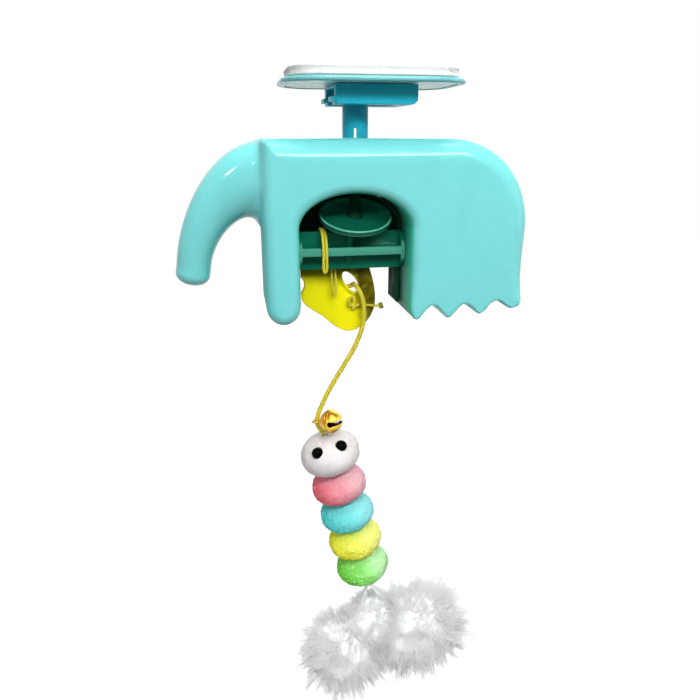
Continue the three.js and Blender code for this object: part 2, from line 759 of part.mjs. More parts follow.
function buildLiner() {
  const inside = archShape(gap + linerThickness, linerBottom - overrun);
  const reach = archHalfWidth * 2;
  const outer = prismY(archShape(gap, linerBottom), gap, linerBack);
  const hollow = prismY(inside, gap - overrun, linerBack - linerWebThickness);
  const underWeb = block(-reach, reach, 0, bodyDepth, linerBottom - overrun, linerWebBottom);
  const passage = prismY(inside, gap - overrun, linerBack + overrun).intersect(underWeb);
  const plateReach = (barTop - barBottom) / 2 + gap;
  const plates = block(-reach, reach, -overrun, plateReach, barBottom - gap, barTop + gap);
  const ceiling = archSpring + archRise;
  const pinHole = rodZ(pinRadius + gap, 0, 0, ceiling - wall - overrun, ceiling + overrun, 16);
  const liner = outer.subtract(hollow).subtract(passage).subtract(plates).subtract(pinHole);
  return piece("arch_liner", liner, colours.disc, 0.5, 0);
}

function buildDisc() {
  const profile = [
    [0, discHubBottom], [discHubRadius - discHubEdge, discHubBottom],
    [discHubRadius, discHubBottom + discHubEdge], [discHubRadius, discFloorBottom],
    [discRadius - discLip, discRimBottom], [discRadius, discRimBottom + discLip / 2], [discRadius, discRimTop],
    [discRadius - discLip, discRimTop], [discRadius - 2 * discLip, discFloorTop],
    [discHubRadius, discFloorTop], [discHubRadius - discHubEdge, discHubTop], [0, discHubTop],
  ];
  const socket = solid(new THREE.SphereGeometry(pinBallRadius + gap, 20, 14));
  const dish = turned(profile, 28).rotate([discLean, 0, 0]).subtract(socket);
  return piece("retaining_disc", dish.translate([0, 0, discBallHeight]), colours.disc, 0.4, 0);
}

// A blunt leaf, low on the right, with a nick at the left
function tagShape() {
  const left = archCentre - archHalfWidth + barEndPlate + 2 * gap;
  const shape = new THREE.Shape();
  tagOutlineShares.forEach((shares, i) => {
    const places = shares.map((share, k) => (k % 2 ? tagTop - share * tagLength : left + share * tagWidth));
    if (i === 0) {
      shape.moveTo(...places);
    } else if (places.length === 2) {
      shape.lineTo(...places);
    } else {
      shape.bezierCurveTo(...places);
    }
  });
  shape.closePath();
  return shape;
}

function tagHole(grow, y0, y1) {
  const shape = new THREE.Shape();
  shape.absellipse(0, 0, tagHoleWidth / 2 + grow, tagHoleLength / 2 + grow, 0, Math.PI * 2);
  return prismY(shape, y0, y1, 10).rotate([0, -tagHoleLean, 0]).translate([tagHoleX, 0, tagHoleZ]);
}

function buildTag() {
  const back = tagFront + tagThickness;
  const plate = prismY(tagShape(), tagFront, back, 6);
  const collar = tagHole(tagHoleRim, tagFront - tagHoleRimRise, back);
  const hole = tagHole(0, tagFront - tagHoleRimRise - overrun, back + overrun);
  return piece("hanging_tag", plate.add(collar).subtract(hole), colours.tag, 0.35, 0);
}

function tube(route, diameter, sides, steps) {
  const curve = new THREE.CatmullRomCurve3(route.map((p) => new THREE.Vector3(...p)), false, "centripetal");
  const corners = Array.from({ length: sides }, (_, i) => {
    const turn = (i / sides) * Math.PI * 2;
    return new THREE.Vector2((diameter / 2) * Math.cos(turn), (diameter / 2) * Math.sin(turn));
  });
  const section = new THREE.Shape(corners);
  const geometry = new THREE.ExtrudeGeometry(section, { steps, extrudePath: curve, bevelEnabled: false });
  return solid(geometry);
}

function ball(radius, place, across = 10, down = 7) {
  return solid(new THREE.SphereGeometry(radius, across, down)).translate(place);
}

function buildCords() {
  const cord = (name, route, steps, diameter = cordDiameter) =>
    piece(name, tube(route, diameter, cordSides, steps), colours.cord, 0.55, 0);
  const knotLoop = solid(new THREE.TorusGeometry(frontKnotRadius, loopDiameter / 2, 8, 12));
  const frontKnot = knotLoop.rotate([90, frontKnotLean, 0]).translate(frontKnotPlace);
  const knot = (name, radius, place) => piece(name, ball(radius, place), colours.knot, 0.6, 0);
  return [
    cord("cord_bar_loop", barLoopRoute, 36, loopDiameter),
    knot("hitch_knot", hitchKnotRadius, hitchKnotPlace),
    cord("cord_leaf_loop", leafLoopRoute, 16, leafDiameter),
    cord("cord_lead", leadRoute, 8),
    piece("front_knot", frontKnot, colours.cord, 0.6, 0),
    cord("cord_free_end", freeEndRoute, 4, loopDiameter),
    knot("end_knot", endKnotRadius, endKnotPlace),
    cord("cord_main", mainRoute, 22),
  ];
}

function halfBell(side) {
  const profile = [];
  const steps = 5;
  const outer = bellRadius;
  const inner = bellRadius - bellWall;
  for (let i = 0; i < steps; i += 1) {
    const turn = (i / steps) * (Math.PI / 2);
    profile.push([outer * Math.sin(turn), outer * Math.cos(turn)]);
  }
  profile.push([outer, bellBandHeight], [outer + bellBand, bellBandHeight], [outer + bellBand, gap / 2]);
  for (let i = steps; i >= 0; i -= 1) {
    const turn = (i / steps) * (Math.PI / 2);
    profile.push([inner * Math.sin(turn), Math.max(inner * Math.cos(turn), gap / 2)]);
  }
  profile[profile.length - 1][0] = 0;
  const body = turned(profile, 16);
  return side > 0 ? body : body.rotate([180, 0, 0]);
}

function buildBell() {
  const towards = new THREE.Vector3(...bellFaces).normalize();
  const back = towards.clone().negate();
  const across = new THREE.Vector3(0, 0, 1).cross(back).normalize();
  const basis = new THREE.Matrix4().makeBasis(across, back.clone().cross(across), back);
  const slotHalf = bellSlotWidth / 2;
  const reach = bellRadius + overrun;
  const slot = block(-reach, reach, -slotHalf, slotHalf, -reach, -bellSlotStart);
  const holes = [-1, 1].map((side) => {
    const out = side * bellRadius;
    return rodAlong("x", bellHoleRadius, [out, 0, -bellSlotStart - gap], -bellWall * 3, bellWall * 3, 10);
  });
  const lower = halfBell(-1).subtract(slot.add(holes[0]).add(holes[1]));
  const ringPlace = bellRadius + gap + bellRingWire + bellRingRadius;
  const wire = solid(new THREE.TorusGeometry(bellRingRadius, bellRingWire, 6, 16)).rotate([90, 0, 0]);
  const ring = wire.translate([0, 0, ringPlace]);
  const parts = [
    piece("bell_upper", halfBell(1), colours.gold, 0.18, 1),
    piece("bell_lower", lower, colours.gold, 0.18, 1),
    piece("bell_ring", ring, colours.gold, 0.2, 1),
    piece("bell_pea", ball(bellPeaRadius, [0, 0, -bellRadius + bellWall + gap + bellPeaRadius]), colours.steel, 0.3, 1),
  ];
  const group = new THREE.Group();
  group.position.set(...bellPlace);
  group.quaternion.setFromRotationMatrix(basis);
  group.add(...parts);
  return group;
}

// A spheroid cut flat above and below, with a bore for the thread
function bead(radius, halfHeight, cutTop, cutBottom, segments) {
  const profile = [];
  const steps = 8;
  for (let i = 0; i <= steps; i += 1) {
    const z = -cutBottom + ((cutBottom + cutTop) * (1 - Math.cos((Math.PI * i) / steps))) / 2;
    profile.push([radius * Math.sqrt(Math.max(1 - (z / halfHeight) ** 2, 0)), z]);
  }
  profile.push([threadHole, cutTop], [threadHole, -cutBottom], profile[0]);
  return turned(profile, segments);
}

const firstBeadDrop = headBottomCut + gap + (beadPitch - gap) / 2;
const lastBeadDrop = firstBeadDrop + beadPitch * (beadNames.length - 1);
const threadEnd = lastBeadDrop + beadPitch / 2 + gap;

function buildLure() {
  const group = new THREE.Group();
  const beadCut = (beadPitch - gap) / 2;
  const headBody = bead(headRadius, headHalfHeight, headTopCut, headBottomCut, 26);
  const eyes = [-1, 1].map((side) => {
    const x = side * eyeSpread;
    const around = 1 - (x / headRadius) ** 2 - (eyeHeight / headHalfHeight) ** 2;
    return [x, -headRadius * Math.sqrt(around) + eyeSink, eyeHeight];
  });
  const sockets = eyes.map((place) => ball(eyeRadius + gap, place, 12, 8));
  const head = headBody.subtract(sockets[0]).subtract(sockets[1]);
  group.add(piece("head_bead", head, colours.head, 0.45, 0));
  group.add(piece("eye_left", ball(eyeRadius, eyes[0], 12, 8), colours.eye, 0.1, 0));
  group.add(piece("eye_right", ball(eyeRadius, eyes[1], 12, 8), colours.eye, 0.1, 0));
  beadNames.forEach((name, i) => {
    const drop = firstBeadDrop + i * beadPitch;
    const body = bead(beadRadius, beadHalfHeight, beadCut, beadCut, 20).translate([0, 0, -drop]);
    group.add(piece(`foam_bead_${name}`, body, beadColours[i], 0.9, 0));
  });
  const thread = rodZ(threadRadius, 0, 0, -threadEnd, headTopCut - gap, 10);
  group.add(piece("core_thread", thread, colours.thread, 0.8, 0));
  const knot = ball(tailKnotRadius, [0, 0, -threadEnd - gap - tailKnotRadius]);
  group.add(piece("tail_knot", knot, colours.thread, 0.8, 0));
  group.position.set(...headPlace);
  group.rotation.y = -THREE.MathUtils.degToRad(lureLean);
  return group;
}

// The straps start under the tail knot, on the lure's own line
const lean = THREE.MathUtils.degToRad(lureLean);
const strapDrop = threadEnd + 2 * gap + 2 * tailKnotRadius;
const strapTop = new THREE.Vector3(Math.sin(lean), 0, -Math.cos(lean))
  .multiplyScalar(strapDrop)
  .add(new THREE.Vector3(...headPlace));

function tuftMiddle({ below }) {
  return new THREE.Vector3(...below).add(strapTop);
}

function tuftBody(tuft, grow) {
  const geometry = new THREE.SphereGeometry(1, 16, 11);
  geometry.scale(...tuft.half.map((half) => half + grow));
  return solid(geometry).translate(tuftMiddle(tuft).toArray());
}

function buildTail() {
  const strap = (side, tuft) => {
    const from = strapTop.clone().add(new THREE.Vector3(side * strapForkSpread, 0, 0));
    const to = tuftMiddle(tuft);
    const curve = [from.toArray(), from.clone().lerp(to, 1 / 3).toArray(), from.clone().lerp(to, 2 / 3).toArray(),
      to.toArray()];
    return tube(curve, 2 * strapRadius, 8, 6);
  };
  const left = tuftBody(leftTuft, 0);
  const right = tuftBody(rightTuft, 0).subtract(tuftBody(leftTuft, gap));
  const keepOutLeft = tuftBody(leftTuft, gap);
  const keepOutRight = tuftBody(rightTuft, gap);
  const strapLeft = strap(-1, leftTuft).subtract(keepOutLeft).subtract(keepOutRight);
  const strapRight = strap(1, rightTuft).subtract(keepOutRight).subtract(keepOutLeft);
  return [
    piece("tail_strap_left", strapLeft, colours.thread, 0.8, 0),
    piece("tail_strap_right", strapRight, colours.thread, 0.8, 0),
    piece("fur_tuft_left", left, colours.fur, 0.95, 0),
    piece("fur_tuft_right", right, colours.fur, 0.95, 0),
  ];
}

const toy = new THREE.Group();
toy.add(...buildPlate(), buildRail());

const hanging = new THREE.Group();
hanging.position.x = postX;
hanging.add(buildPost(), buildPin(), ...buildShells(), ...buildScrews());
hanging.add(buildBar(), buildLiner(), buildDisc());
hanging.add(buildTag(), ...buildCords(), buildBell(), buildLure(), ...buildTail());
toy.add(hanging);

export default toy;
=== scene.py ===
import math

import bmesh
import bpy
import numpy as np
from mathutils import Matrix, Vector, noise


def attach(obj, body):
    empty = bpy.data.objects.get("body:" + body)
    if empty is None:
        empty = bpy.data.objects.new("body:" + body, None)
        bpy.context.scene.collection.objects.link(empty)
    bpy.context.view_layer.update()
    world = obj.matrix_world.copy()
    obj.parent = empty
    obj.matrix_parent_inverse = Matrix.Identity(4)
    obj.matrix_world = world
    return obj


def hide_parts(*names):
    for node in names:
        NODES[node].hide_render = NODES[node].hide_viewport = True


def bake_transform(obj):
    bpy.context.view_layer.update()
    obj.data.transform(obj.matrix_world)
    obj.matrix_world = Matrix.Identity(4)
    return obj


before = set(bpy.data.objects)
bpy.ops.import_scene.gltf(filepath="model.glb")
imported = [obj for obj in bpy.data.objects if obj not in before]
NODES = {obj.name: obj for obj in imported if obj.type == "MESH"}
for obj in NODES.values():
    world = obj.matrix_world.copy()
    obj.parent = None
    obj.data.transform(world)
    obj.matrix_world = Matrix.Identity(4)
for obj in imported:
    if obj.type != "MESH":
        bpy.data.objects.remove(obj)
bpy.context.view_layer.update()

# Lengths are in millimetres of the shared frame and angles in degrees, unless a comment says otherwise.
# What hangs on the post is measured from the post's axis, at POST_X.
MM = 0.001
POST_X = -4.8
# A direction that no cord or hair follows
OFF_AXIS = (0.3, 0.5, 0.81)

# The camera stands to the left of the toy and looks down
CAMERA_PLACE, CAMERA_TURN, CAMERA_PITCH = (-47.16, -230.14, -20.87), 10, 18.3
SENSOR_WIDTH, FOCAL_PIXELS, PICTURE_PIXELS = 36, 648, 700


def make_camera():
    turn, pitch = math.radians(CAMERA_TURN), math.radians(CAMERA_PITCH)
    level = math.cos(pitch)
    forward = Vector((math.sin(turn) * level, math.cos(turn) * level, -math.sin(pitch)))
    data = bpy.data.cameras.new("camera")
    data.sensor_width = SENSOR_WIDTH
    data.lens = SENSOR_WIDTH * FOCAL_PIXELS / PICTURE_PIXELS
    data.clip_start, data.clip_end = 0.01, 50
    camera = bpy.data.objects.new("camera", data)
    camera.location = Vector(CAMERA_PLACE) * MM
    camera.rotation_mode = "QUATERNION"
    camera.rotation_quaternion = forward.to_track_quat("-Z", "Y")
    bpy.context.scene.collection.objects.link(camera)
    bpy.context.scene.camera = camera


make_camera()


# Mesh helpers
def link(obj):
    bpy.context.scene.collection.objects.link(obj)
    return obj


def mesh_object(name, vertices, faces, smooth=True):
    """A new object from vertices in millimetres."""
    mesh = bpy.data.meshes.new(name)
    mesh.from_pydata((np.asarray(vertices, float) * MM).tolist(), [], [list(f) for f in faces])
    mesh.validate()
    mesh.update()
    if smooth:
        mesh.shade_smooth()
    return link(bpy.data.objects.new(name, mesh))


def loop_faces(rings, count, closed=False):
    """Quads between successive rings of count vertices each."""
    faces = []
    for ring in range(rings if closed else rings - 1):
        a0, b0 = ring * count, ((ring + 1) % rings) * count
        for i in range(count):
            j = (i + 1) % count
            faces.append((a0 + i, a0 + j, b0 + j, b0 + i))
    return faces


def lofted(name, rings, smooth=True, closed=False):
    """A skin over rings of equal length: closed round, or with a cap at each end."""
    rings = np.asarray(rings, float)
    total, count = rings.shape[0], rings.shape[1]
    faces = loop_faces(total, count, closed)
    if not closed:
        faces.append(tuple(range(count))[::-1])
        faces.append(tuple((total - 1) * count + i for i in range(count)))
    obj = mesh_object(name, rings.reshape(-1, 3), faces, smooth)
    outwards(obj)
    return obj


def outwards(obj):
    """Turns all faces of a closed mesh outwards."""
    bm = bmesh.new()
    bm.from_mesh(obj.data)
    bmesh.ops.recalc_face_normals(bm, faces=bm.faces)
    if bm.calc_volume(signed=True) < 0:
        bmesh.ops.reverse_faces(bm, faces=bm.faces)
    bm.to_mesh(obj.data)
    bm.free()


def sharpen(obj, degrees=35):
    """Smooth shading that stops at edges steeper than the angle."""
    obj.data.shade_smooth()
    obj.data.set_sharp_from_angle(angle=math.radians(degrees))


def seat(obj, body, *nodes):
    """Fixes a piece to its body, in place of the CAD nodes it stands for."""
    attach(obj, body)
    if nodes:
        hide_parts(*nodes)
    return obj


def mesh_with_modifiers(obj):
    return bpy.data.meshes.new_from_object(obj.evaluated_get(bpy.context.evaluated_depsgraph_get()))


def apply_modifiers(obj):
    made = mesh_with_modifiers(obj)
    obj.modifiers.clear()
    obj.data = made


def boolean(obj, other, operation="DIFFERENCE"):
    """Cuts, joins or intersects obj with other, which is then removed."""
    step = obj.modifiers.new(operation, "BOOLEAN")
    step.operation = operation
    step.solver = "MANIFOLD"
    step.object = other
    bpy.context.view_layer.update()
    apply_modifiers(obj)
    bpy.data.objects.remove(other)
    return obj


def ease_edges(obj, width, degrees):
    ease = obj.modifiers.new("ease", "BEVEL")
    ease.width = width * MM
    ease.segments = 2
    ease.limit_method = "ANGLE"
    ease.angle_limit = math.radians(degrees)


def place(obj, matrix):
    """Moves the mesh itself; the matrix is in millimetres."""
    scaled = Matrix.Diagonal((MM, MM, MM, 1)) @ matrix @ Matrix.Diagonal((1 / MM, 1 / MM, 1 / MM, 1))
    obj.data.transform(scaled)
    obj.data.update()


def block(name, low, high):
    xs, ys, zs = zip(low, high)
    corners = [(x, y, z) for x in xs for y in ys for z in zs]
    faces = [(0, 1, 3, 2), (4, 6, 7, 5), (0, 4, 5, 1), (2, 3, 7, 6), (0, 2, 6, 4), (1, 5, 7, 3)]
    obj = mesh_object(name, corners, faces, smooth=False)
    outwards(obj)
    return obj


def full_turn(steps):
    return np.linspace(0, 2 * math.pi, steps, endpoint=False)


def level_ring(radius, height, turns):
    return np.column_stack([radius * np.cos(turns), radius * np.sin(turns), np.full(len(turns), height)])


def lathed(name, profile, segments, matrix=Matrix.Identity(4), smooth=True, closed=False):
    """A solid of revolution about Z. The profile is [radius, height], open from bottom to top or closed."""
    turns = full_turn(segments)
    obj = lofted(name, [level_ring(r, z, turns) for r, z in profile], smooth, closed)
    place(obj, matrix)
    return obj


def cylinder(name, radius, start, end, segments=48):
    start, end = Vector(start), Vector(end)
    turn = (end - start).to_track_quat("Z", "Y").to_matrix().to_4x4()
    profile = [(radius, 0), (radius, (end - start).length)]
    return lathed(name, profile, segments, Matrix.Translation(start) @ turn, smooth=False)


def smooth_route(points, per_span=6):
    """A centripetal curve through the points."""
    p = np.array(points, float)
    p = np.vstack([2 * p[0] - p[1], p, 2 * p[-1] - p[-2]])

    def between(a, b, t0, t1, u):
        return (t1 - u) / (t1 - t0) * a + (u - t0) / (t1 - t0) * b

    made = []
    for i in range(1, len(p) - 2):
        four = p[i - 1 : i + 3]
        t = np.concatenate([[0], np.cumsum(np.sqrt(np.linalg.norm(np.diff(four, axis=0), axis=1)))])
        for u in np.linspace(t[1], t[2], per_span, endpoint=False):
            a = [between(four[k], four[k + 1], t[k], t[k + 1], u) for k in range(3)]
            b = [between(a[k], a[k + 1], t[k], t[k + 2], u) for k in range(2)]
            made.append(between(b[0], b[1], t[1], t[2], u))
    made.append(p[-2])
    return np.array(made)


TIP_TURNS = (0.45, 0.9, 1.3)


def tube(name, line, radius, sides=14, closed=False, tips=0.0):
    """A round tube along the line. Its UV map runs round it and along it, in millimetres."""
    line = np.asarray(line, float)
    count = len(line)
    if closed:
        tangents = np.roll(line, -1, 0) - np.roll(line, 1, 0)
    else:
        tangents = np.gradient(line, axis=0)
    tangents /= np.linalg.norm(tangents, axis=1)[:, None]
    side = np.cross(tangents[0], OFF_AXIS)
    turns = full_turn(sides)
    lengths = np.concatenate([[0], np.cumsum(np.linalg.norm(np.diff(line, axis=0), axis=1))])
    rings = []
    for i in range(count):
        side = side - tangents[i] * (side @ tangents[i])
        side /= np.linalg.norm(side)
        other = np.cross(tangents[i], side)
        rings.append(line[i] + radius * (np.outer(np.cos(turns), side) + np.outer(np.sin(turns), other)))
    if tips:
        for end, step in ((0, -1), (-1, 1)):
            centre, ring = line[end], rings[end]
            extra = [
                centre + tangents[end] * step * tips * math.sin(a) + (ring - centre) * math.cos(a)
                for a in TIP_TURNS
            ]
            rings = extra[::-1] + rings if end == 0 else rings + extra
    obj = lofted(name, rings, True, closed)
    uv = obj.data.uv_layers.new(name="UVMap")
    offset = len(TIP_TURNS) if tips else 0
    along = np.array([lengths[min(max(i - offset, 0), count - 1)] for i in range(len(rings))])
    for poly in obj.data.polygons:
        if len(poly.vertices) != 4:
            continue
        columns = [v % sides for v in poly.vertices]
        wrap = max(columns) == sides - 1 and min(columns) == 0
        for corner, v in zip(poly.loop_indices, poly.vertices):
            column = v % sides
            if wrap and column == 0:
                column = sides
            uv.data[corner].uv = (column / sides, along[v // sides])
    return obj


# Materials
def linear(colour):
    """An sRGB colour, 0 to 255, as Blender's linear one."""
    c = np.array(colour, float) / 255
    return (*np.where(c <= 0.04045, c / 12.92, ((c + 0.055) / 1.055) ** 2.4), 1)


class Look:
    """A procedural material, built a node at a time."""

    def __init__(self, name, colour, roughness, gloss=0.5, **settings):
        self.material = bpy.data.materials.new(name)
        self.material.use_nodes = True
        self.tree = self.material.node_tree
        self.shader = self.tree.nodes["Principled BSDF"]
        self.base = linear(colour)
        self.shader.inputs["Base Color"].default_value = self.base
        self.shader.inputs["Roughness"].default_value = roughness
        self.shader.inputs["Specular IOR Level"].default_value = gloss
        for key, value in settings.items():
            self.shader.inputs[key.replace("_", " ")].default_value = value
        self.material.diffuse_color = self.base
        self.position = self.node("ShaderNodeTexCoord").outputs["Object"]

    def node(self, kind, inputs=(), **settings):
        """A new node; its inputs are set by name or number, to a value or to another node's output."""
        made = self.tree.nodes.new(kind)
        for key, value in settings.items():
            setattr(made, key, value)
        for key, value in dict(inputs).items():
            if isinstance(value, bpy.types.NodeSocket):
                self.tree.links.new(value, made.inputs[key])
            else:
                made.inputs[key].default_value = value
        return made

    def feed(self, socket, output):
        self.tree.links.new(output, self.shader.inputs[socket])

    def fed_by(self, socket):
        return self.shader.inputs[socket].links[0].from_socket

    def noise(self, size, detail=3.0, roughness=0.5, stretch=None):
        """Noise whose grains are about size millimetres."""
        source = self.position
        if stretch is not None:
            mapped = self.node("ShaderNodeMapping", {"Vector": source, "Scale": stretch})
            source = mapped.outputs["Vector"]
        inputs = {"Vector": source, "Scale": 1 / (size * MM), "Detail": detail, "Roughness": roughness}
        return self.node("ShaderNodeTexNoise", inputs).outputs["Fac"]

    def cells(self, size):
        inputs = {"Vector": self.position, "Scale": 1 / (size * MM)}
        return self.node("ShaderNodeTexVoronoi", inputs).outputs["Distance"]

    def dot(self, source, vector):
        made = self.node("ShaderNodeVectorMath", {0: source, 1: tuple(vector)}, operation="DOT_PRODUCT")
        return made.outputs["Value"]

    def axis(self, x, y, z):
        """The position along a direction, in millimetres."""
        return self.dot(self.position, Vector((x, y, z)) / MM)

    def facing(self, x, y, z):
        """How far the surface faces a direction, from -1 to 1."""
        return self.dot(self.node("ShaderNodeNewGeometry").outputs["Normal"], (x, y, z))

    def span(self, value, low, high, to_low=0.0, to_high=1.0):
        """A smooth step between two values."""
        inputs = {"Value": value, "From Min": low, "From Max": high, "To Min": to_low, "To Max": to_high}
        return self.node("ShaderNodeMapRange", inputs, interpolation_type="SMOOTHSTEP").outputs["Result"]

    def band(self, value, rise, fall):
        """1 between a rising and a falling step."""
        return self.sum(self.span(value, *rise), self.span(value, *fall), "MULTIPLY")

    def sum(self, a, b, operation="ADD"):
        return self.node("ShaderNodeMath", {0: a, 1: b}, operation=operation).outputs["Value"]

    def tint(self, other, factor):
        """Mixes another colour into the base colour by a factor that varies over the surface."""
        inputs = {0: factor, 6: self.base, 7: linear(other)}
        self.base = self.node("ShaderNodeMix", inputs, data_type="RGBA").outputs[2]
        self.feed("Base Color", self.base)

    def rough(self, factor, low, high):
        self.feed("Roughness", self.span(factor, 0.3, 0.7, low, high))

    def bump(self, height, depth):
        inputs = {"Strength": 1.0, "Distance": depth * MM, "Height": height}
        self.feed("Normal", self.node("ShaderNodeBump", inputs).outputs["Normal"])


def put(obj, look):
    obj.data.materials.clear()
    obj.data.materials.append(look.material)
    return obj


def moulded(name, colour, dark, light, roughness, gloss):
    """Moulded plastic: faint flow marks in colour and gloss, and a fine skin."""
    look = Look(name, colour, roughness, gloss)
    look.tint(dark, look.span(look.noise(9, 4, 0.6, (1, 1, 0.45)), 0.42, 0.75, 0, 0.35))
    look.tint(light, look.span(look.noise(2.4, 3), 0.5, 0.8, 0, 0.18))
    look.rough(look.noise(5, 4), roughness * 0.85, roughness * 1.3)
    look.bump(look.noise(0.7, 4, 0.6), 0.006)
    return look


SHELL = moulded("shell_mint", (118, 213, 212), (107, 202, 200), (131, 224, 224), 0.1, 0.3)
# Painted shade: the lining's dark green stands in for the shade deep in the arch; the pin above the dish
# wears it too
SHADE_LINING = moulded("arch_lining", (10, 60, 42), (7, 44, 30), (18, 74, 54), 0.6, 0.05)
RIM = moulded("rim_mint", (112, 188, 191), (98, 174, 178), (130, 204, 207), 0.22, 0.3)
PLATE = moulded("plate_white", (252, 245, 242), (236, 230, 228), (255, 250, 248), 0.3, 0.5)
TEAL = moulded("rail_teal", (25, 152, 174), (18, 134, 154), (40, 170, 190), 0.3, 0.12)
# Painted light: the rail is the post's teal, lighter to make up for the plate's shadow over it
RAIL_PAINTED_LIGHT = moulded("rail_painted_light", (36, 180, 204), (28, 160, 184), (52, 198, 220), 0.3, 0.12)
BAR = moulded("bar_green", (5, 106, 82), (3, 88, 66), (14, 122, 96), 0.3, 0.07)
DISC = moulded("disc_green", (8, 92, 72), (6, 80, 62), (16, 104, 82), 0.32, 0.12)
INSIDE = moulded("bell_inside", (58, 34, 10), (36, 20, 6), (84, 52, 16), 0.5, 0.2)
# Painted highlight: a lighter green for the rounded edges of the dish's rim
DISC_RIM_HIGHLIGHT = moulded("disc_rim_highlight", (92, 176, 152), (74, 154, 132), (118, 196, 174), 0.25, 0.3)


def shade_arch(look):
    """The arch's inner wall is painted with shade, greener and darker, and is duller, the more so towards the
    back.

    The front leg's left side and the undersides of the feet are duller too.
    """
    spot, height, sideways = look.axis(1, 0, 0), look.axis(0, 0, 1), look.facing(0, 1, 0)
    inward = look.span(look.sum(sideways, sideways, "MULTIPLY"), 0.55, 0.12)
    across = look.band(spot, (-28.5, -26.5), (14.8, 13.0))
    up = look.band(height, (-83.5, -81.5), (-36.5, -38.5))
    arch = look.sum(look.sum(across, up, "MULTIPLY"), inward, "MULTIPLY")
    # Painted shade: the arch's inner wall greener, and darker still towards the back
    look.tint((70, 212, 184), arch)
    look.tint((10, 58, 40), look.sum(arch, look.span(look.axis(0, 1, 0), -14.5, 3.0), "MULTIPLY"))
    leg = look.band(spot, (-40.0, -38.5), (-35.0, -37.2))
    leg = look.sum(leg, look.span(height, -43.5, -47.0), "MULTIPLY")
    feet = look.sum(look.span(look.facing(0, 0, 1), -0.5, -0.9), look.span(height, -70.0, -75.0), "MULTIPLY")
    dull = look.sum(look.sum(arch, 0.45, "MULTIPLY"), look.sum(look.sum(leg, feet), 0.55, "MULTIPLY"))
    look.feed("Roughness", look.sum(look.fed_by("Roughness"), dull))


shade_arch(SHELL)
# Painted light: the dish lighter towards its back, where the arch's roof shades it
DISC.tint((40, 196, 160), DISC.span(DISC.axis(0, 1, 0), -4, 12))
# Painted light: the front edges of the bar's ribs lighter, as where they catch the light
BAR.tint((76, 160, 138), BAR.span(BAR.axis(0, -1, 0), 5.2, 6.3))


def pad_look():
    look = Look("pad_foam", (226, 224, 223), 0.75, 0.15)
    look.tint((204, 201, 200), look.span(look.noise(1.6, 5), 0.5, 0.78, 0, 0.5))
    look.bump(look.cells(0.8), 0.05)
    return look


def steel_look():
    look = Look("steel", (190, 193, 197), 0.3, Metallic=1.0)
    look.rough(look.noise(1.2, 4), 0.22, 0.42)
    look.bump(look.noise(0.3, 3), 0.01)
    return look


def gold_look():
    """Gold with worn spots, and painted shade, browner, towards its bottom and its upper left."""
    look = Look("gold", (255, 212, 84), 0.1, Metallic=1.0)
    look.tint((214, 158, 48), look.span(look.noise(2.6, 3), 0.5, 0.75, 0, 0.4))
    # Painted shade, browner, towards the bottom and the upper left
    look.tint((120, 78, 20), look.span(look.axis(0.2, 0.1, -1), 120.5, 126.2, 0, 0.8))
    look.tint((176, 108, 18), look.span(look.axis(-0.75, -0.2, 0.66), -69.7, -66.5, 0, 0.75))
    look.rough(look.noise(1.6, 4), 0.24, 0.32)
    look.bump(look.noise(1.4, 2), 0.002)
    return look


def tag_look():
    """Bright yellow, with painted shadow, brown, at the tag's top and right edge."""
    look = Look("tag_yellow", (255, 246, 18), 0.35, 0.08)
    # Painted shadow: brown at the tag's right edge and at its top under the bar
    right = look.span(look.axis(1, 0, 0.3), -30.0, -23.5)
    top = look.span(look.axis(0.12, 0, 1), -76.5, -70.5)
    shade = look.sum(look.sum(right, 0.97, "MULTIPLY"), look.sum(top, 0.85, "MULTIPLY"), "MAXIMUM")
    uneven = look.span(look.noise(4, 4), 0.3, 0.7, 0.86, 1.0)
    look.tint((50, 36, 2), look.sum(shade, uneven, "MULTIPLY"))
    look.tint((255, 250, 70), look.span(look.noise(3, 3), 0.55, 0.8, 0, 0.25))
    look.bump(look.noise(0.8, 4), 0.01)
    return look


def cord_look(name, colour, dark):
    """A round cord with a fine braided cover, by the tube's own UV map."""
    look = Look(name, colour, 0.5, 0.25)
    uv = look.node("ShaderNodeUVMap").outputs["UV"]
    waves = []
    for lean in (1, -1):
        inputs = {"Vector": uv, "Scale": (1, 0.35, 1), "Rotation": (0, 0, lean * math.radians(38))}
        turned = look.node("ShaderNodeMapping", inputs).outputs["Vector"]
        waves.append(look.node("ShaderNodeTexWave", {"Vector": turned, "Scale": 3.2}).outputs["Fac"])
    weave = look.sum(*waves, "MAXIMUM")
    look.tint(dark, look.span(weave, 0.9, 0.2, 0, 0.6))
    look.tint(dark, look.span(look.noise(5, 3), 0.5, 0.8, 0, 0.35))
    look.bump(weave, 0.05)
    return look


def foam_look(name, shade_and_grain, colour, light, lower_left):
    """Foam with open grains, with painted shade towards its lower left and painted light towards its upper
    right.
    """
    look = Look(name, colour, 0.8, 0.15, Subsurface_Weight=0.1, Subsurface_Scale=0.0015)
    grain = look.cells(0.8)
    speckle = look.noise(0.7, 4, 0.7)
    along = lower_left(look)
    # Painted light towards the upper right, then painted shade towards the lower left
    look.tint(light, look.span(along, 0.55, 0.0))
    look.tint(shade_and_grain, look.span(along, 0.6, 1.0))
    look.tint(light, look.span(speckle, 0.48, 0.64, 0, 0.65))
    look.tint(shade_and_grain, look.span(grain, 0.5, 0.85, 0, 0.3))
    look.bump(look.sum(speckle, look.sum(grain, -0.7, "MULTIPLY")), 0.45)
    return look


